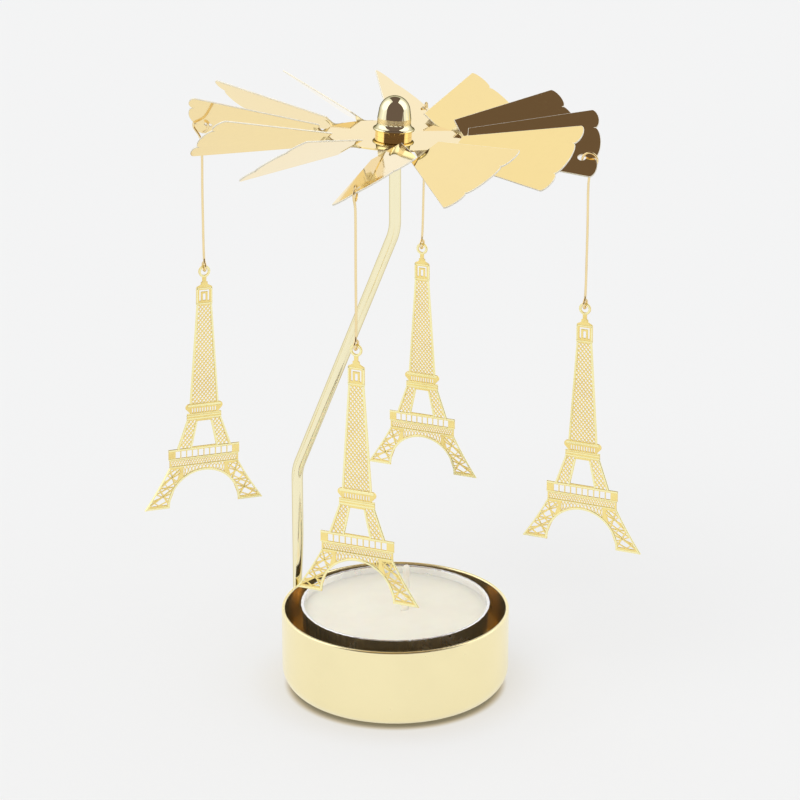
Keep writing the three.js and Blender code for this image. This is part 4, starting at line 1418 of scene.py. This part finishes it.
    def rails(self) -> list:
        """The raised rails: those on both sides, the one round the arch and those that lie across.

        Returns:
            Each rail's run of points and its width.
        """
        wide, deck, share = self.rail, self.lower_deck_top, np.linspace(0, 1, 9)
        inset, sill = wide / 2, deck + self.window_foot
        foot, edge = self.height - 0.22 * MM, self.lantern_width / 2 - 0.18 * MM
        pairs = (
            ([[self.shaft_top_width / 2 - inset, self.shaft_top],
              [self.shaft_foot_width / 2 - inset, self.upper_deck_top]], wide),
            ([[self.middle_top_width / 2 - inset, self.middle_top], [self.middle_foot_width / 2 - inset, deck]], wide),
            ([[self.middle_gap_top / 2 + inset, self.middle_top + wide], [self.middle_gap_foot / 2 + inset, deck]],
             wide),
            (joined(self.leg_outer(share) - 0.4 * wide, self.leg_depth(share)), 0.8 * wide),
            ([[self.arch_radius + 0.1 * MM, foot], [self.feet_width / 2 - 0.45 * MM, foot]], 0.42 * MM),
            ([[edge, self.lantern_top + 0.45 * MM], [edge, self.shaft_top - 0.36 * MM]], 0.32 * MM),
        )
        runs = [(np.array(run) * [side, -1], width) for side in SIDES for run, width in pairs]
        runs.append((self.arch(0.55 * wide, 177, 3, 40), 1.1 * wide))
        for depth, span, width in (
            (self.lantern_top + 0.62 * MM, self.lantern_width - 0.1 * MM, 0.3 * MM),
            (self.shaft_top - 0.18 * MM, self.lantern_width, 0.36 * MM),
            (self.upper_deck_top + 0.4 * MM, self.upper_deck_width - 0.9 * MM, 0.62 * MM),
            (self.upper_deck_top + 2.12 * MM, self.middle_top_width, 0.2 * MM),
            (self.upper_deck_top + 2.5 * MM, self.middle_top_width, 0.34 * MM),
            (self.middle_top - 0.2 * MM, self.middle_top_width, 0.4 * MM),
            (deck + 0.2 * MM, self.lower_deck_width, 0.4 * MM),
            (sill + 0.14 * MM, self.lower_deck_width, 0.26 * MM),
            (sill + 0.41 * MM, self.lower_deck_width - 0.4 * MM, 0.16 * MM),
            (self.legs_top - 0.2 * MM, self.lower_deck_width - 0.4 * MM, 0.2 * MM),
        ):
            runs.append((np.array([[-span / 2, -depth], [span / 2, -depth]]), width))
        return runs

    def relief(self) -> list:
        """The bars on the plate: raised rails, the ring's rim and the nets that bridge the openings.

        Returns:
            Their patches.
        """
        ring = arc((0, 0), (self.ring_outer + self.ring_hole) / 2, 0, 360, 24)
        parts = [bars(spans(run), width, self.sheet, 1) for run, width in self.rails()]
        parts.append(bars(spans(ring), 0.92 * (self.ring_outer - self.ring_hole), 0.98 * self.sheet, 1))
        nets = [
            (*(self.net_bars(corners, spacing, way * slope) for way in SIDES), width)
            for corners, spacing, slope, width in self.panels()
        ]
        for *both, width in [*nets, (*self.spandrel_bars(), 1.1 * self.fine_net)]:
            parts += [bars(ends, width, share * self.ground) for ends, share in zip(both, self.net_depth_shares)]
        return parts + [bars(*run) for run in self.leg_bars()]

    def build(self, face: Material, ground: Material) -> None:
        """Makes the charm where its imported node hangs.

        Args:
            face: finish of the rails.
            ground: finish of the plate, the nets and the braces.
        """
        name = self.place.value
        swing = JOINTS[f"charm_{name}_swing"]
        origin = Vector(swing["pos_m"]) - Vector((0, 0, (self.ring_outer + self.ring_hole) / 2))
        turn = Matrix.Rotation(math.atan2(swing["axis"][1], swing["axis"][0]), 4, "Z")
        roll = Matrix.Rotation(math.radians(CHARM_ROLLS_DEG[self.place]), 4, "Y")
        place = np.array(Matrix.Translation(origin) @ turn @ roll)
        plate = flat_plate(self.outline(), self.through_holes(), self.ground, self.plate_edge)
        patches = [patch.placed(place) for patch in [plate, *self.relief()]]
        make_piece(f"tower_{name}", patches, [ground, face], f"charm_{name}", f"tower_charm_{name}", 30)


# Studio


@dataclass
class Studio:
    """The plain pale set: camera, floor, sky and lamps.

    A dark zone is the outward normals of two planes, how soft their edges are, and the height and softness of its
    foot; a box is the azimuth, elevation and reach of a bright patch, in degrees; a lamp is its name, tilt, turn,
    power and spread.
    """

    camera_place: tuple = (0.04 * MM, -520 * MM, 245.66 * MM)
    camera_tilt_deg: float = 70.4
    camera_yaw_deg: float = -0.1
    focal_px: float = 2822.75
    picture_px: float = 800
    sensor: float = 36
    paper: float = 0.896
    haze: float = 0.75
    dark: tuple = (0.15, 0.11, 0.1)
    floor_half: float = 6.0
    floor_sink: float = 0.02 * MM
    floor_colour: tuple = (0.333, 0.335, 0.337)
    floor_glow: float = 0.62
    camera_glow_cut: float = 0.062
    # The floor's painted shadow: its glow darkens between the first two radii round the axis and faintly out to the
    # third, taking a warm tint there as a painted reflection of the gold cup.
    painted_shadow_inner: float = 20.3 * MM
    painted_shadow_outer: float = 22.8 * MM
    painted_halo_outer: float = 32 * MM
    painted_shadow_tint: tuple = (1.0, 0.6, 0.0)
    dark_zones: tuple = (
        (((-0.944, -0.258, -0.207), (0.909, -0.139, -0.393)), 0.015, 0.6, 0.03),
        (((-0.5, 0.865, -0.034), (0.3, 0.954, 0.025)), 0.02, 0.02, 0.02),
    )
    boxes_deg: tuple = ((178, 34, 30), (2, 38, 30))
    box_edge_deg: float = 2
    box_strength: float = 0.5
    lamps: tuple = (("key", 35, -35, 0.8, 40), ("fill", 40, 60, 0.3, 60))

    def zone(self, nodes: Nodes, way: object, planes: tuple, edge: float, foot: float, foot_edge: float) -> object:
        """The part of the room above a height and on the inner side of two planes through its middle.

        Args:
            nodes: the world's node helper.
            way: the way that is looked along.
            planes: the planes' outward normals.
            edge: how soft their edges are.
            foot: the height, as the way's Z.
            foot_edge: how soft the edge there is.

        Returns:
            A mask, 1 in the zone.
        """
        rise = nodes.add("ShaderNodeSeparateXYZ", Vector=way).outputs["Z"]
        inside = [nodes.ramp(nodes.vector("DOT_PRODUCT", way, normal), edge, -edge) for normal in planes]
        return nodes.math("MULTIPLY", *inside, nodes.ramp(rise, foot - foot_edge, foot + foot_edge))

    def box(self, nodes: Nodes, way: object, azimuth: float, elevation: float, reach: float) -> object:
        """A round patch of the room.

        Args:
            nodes: the world's node helper.
            way: the way that is looked along.
            azimuth: of the patch's middle, in degrees, as the others.
            elevation: of its middle.
            reach: from its middle to its edge.

        Returns:
            A mask, 1 in the patch.
        """
        azimuth, elevation = math.radians(azimuth), math.radians(elevation)
        level = math.cos(elevation)
        middle = (level * math.cos(azimuth), level * math.sin(azimuth), math.sin(elevation))
        low, high = (math.cos(math.radians(reach + side * self.box_edge_deg)) for side in (1, -1))
        return nodes.ramp(nodes.vector("DOT_PRODUCT", way, middle), low, high)

    def build_camera(self) -> None:
        """Puts the camera where the photograph was taken from."""
        data = bpy.data.cameras.new("camera")
        data.sensor_width, data.lens = self.sensor, self.focal_px / self.picture_px * self.sensor
        data.clip_start, data.clip_end = 0.01, 100
        camera = put("camera", data)
        camera.location = self.camera_place
        camera.rotation_euler = (math.radians(self.camera_tilt_deg), 0, math.radians(self.camera_yaw_deg))
        bpy.context.scene.camera = camera

    def build_world(self) -> None:
        """A white room with a dark patch of ceiling, a dark end behind the camera and two bright boxes at the sides."""
        world = bpy.data.worlds.new("room")
        bpy.context.scene.world = world
        nodes = blank_nodes(world)
        way = nodes.add("ShaderNodeTexCoord").outputs["Generated"]
        shade = nodes.math("MAXIMUM", *(self.zone(nodes, way, *zone) for zone in self.dark_zones))
        boxes = nodes.math("MAXIMUM", *(self.box(nodes, way, *box) for box in self.boxes_deg))
        bright = nodes.blend(boxes, (1, 1, 1), (1 + self.box_strength,) * 3)
        rays = nodes.add("ShaderNodeLightPath").outputs
        room = nodes.blend(rays["Is Glossy Ray"], (self.haze,) * 3, nodes.blend(shade, bright, self.dark))
        colour = nodes.blend(rays["Is Camera Ray"], room, (self.paper,) * 3)
        light = nodes.add("ShaderNodeBackground", Color=colour, Strength=1.0)
        nodes.add("ShaderNodeOutputWorld", Surface=light.outputs[0])

    def build_floor(self) -> None:
        """A pale floor that is as bright as the backdrop. Its diffuse part takes the lamps' real shadow, and its glow
        carries a painted contact shadow round the cup's foot, tinted warm as a painted reflection of the gold.
        """
        mesh = bpy.data.meshes.new("floor")
        square = ((-1, -1), (1, -1), (1, 1), (-1, 1))
        corners = [(x * self.floor_half, y * self.floor_half, -self.floor_sink) for x, y in square]
        mesh.from_pydata(corners, [], [(0, 1, 2, 3)])
        material = bpy.data.materials.new("floor_paper")
        nodes = blank_nodes(material)
        rays = nodes.add("ShaderNodeLightPath").outputs
        seen = nodes.math("MAXIMUM", *(rays[f"Is {kind} Ray"] for kind in ("Camera", "Glossy", "Transmission")))
        reach = nodes.vector("LENGTH", nodes.add("ShaderNodeTexCoord").outputs["Object"])
        # Painted shadow: camera rays see the floor's glow darkened in a ring round the cup's foot and in a faint wider
        # halo.
        painted_contact_shadow = nodes.ramp(reach, self.painted_shadow_inner, self.painted_shadow_outer, 0.85, 0.0)
        around = nodes.ramp(reach, self.painted_shadow_inner, self.painted_halo_outer, 0.08, 0.0)
        painted_shadow = nodes.math("MULTIPLY", nodes.math("ADD", painted_contact_shadow, around), rays["Is Camera Ray"])
        cut = nodes.math("MULTIPLY", rays["Is Camera Ray"], self.camera_glow_cut)
        level = nodes.math("SUBTRACT", self.floor_glow, cut)
        strength = nodes.math("MULTIPLY", seen, level, nodes.math("SUBTRACT", 1.0, painted_shadow))
        # Painted reflection: the darkened ring takes a warm tint that stands in for gold light thrown onto the floor.
        tone = nodes.blend(painted_shadow, (1, 1, 1), self.painted_shadow_tint)
        glow = nodes.add("ShaderNodeEmission", Color=tone, Strength=strength)
        matte = nodes.add("ShaderNodeBsdfDiffuse", Color=self.floor_colour)
        both = nodes.add("ShaderNodeAddShader", i0=glow.outputs[0], i1=matte.outputs[0])
        nodes.add("ShaderNodeOutputMaterial", Surface=both.outputs[0])
        mesh.materials.append(material)
        put("floor", mesh)

    def build_lamps(self) -> None:
        """Soft sun lamps from above that light matte surfaces and don't show in the metal."""
        for name, tilt, turn, power, spread in self.lamps:
            lamp = bpy.data.lights.new(name, "SUN")
            lamp.energy, lamp.angle = power, math.radians(spread)
            holder = put(name, lamp)
            holder.rotation_euler = (math.radians(tilt), 0, math.radians(turn))
            holder.visible_glossy = False

    def build(self) -> None:
        """Makes the whole set."""
        bpy.context.scene.view_settings.view_transform = "Standard"
        self.build_camera()
        self.build_world()
        self.build_floor()
        self.build_lamps()


def dress_hidden(groups: SharedGroups) -> None:
    """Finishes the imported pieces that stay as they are: the wick's plate and the seat inside the cap.

    Args:
        groups: the shared shader groups.
    """
    for node, finish in (("wick_sustainer", TINPLATE), ("pivot_seat", SEAT_BRASS)):
        materials = frame["nodes"][node].data.materials
        materials.clear()
        materials.append(finish.material(groups))
        LOG.info("%s keeps its packed shape", node)


def main() -> None:
    """Builds the set and every sub-assembly."""
    logging.basicConfig(level=logging.INFO, format="%(message)s")
    Studio().build()
    groups = SharedGroups()
    BaseCup().build(SATIN_GOLD.material(groups), INNER_GOLD.material(groups))
    SupportArm().build(ROD_GOLD.material(groups))
    tealight = Tealight()
    tealight.build_foil(FOIL.material(groups), FOIL_OUTSIDE.material(groups))
    tealight.build_wax(WAX.material())
    tealight.build_wick(COTTON.material())
    cap_finishes = [CAP_GOLD.material(groups), BAND_GOLD.material(groups)]
    Rotor().build(ROTOR_GOLD.material(groups), CUT_GOLD.material(groups), cap_finishes)
    wire, face, ground = (finish.material(groups) for finish in (WIRE_GOLD, CHARM_FACE, CHARM_GROUND))
    for place in Place:
        Hanger(place).build(wire)
        TowerCharm(place).build(face, ground)
    dress_hidden(groups)


if __name__ == "__main__":
    main()
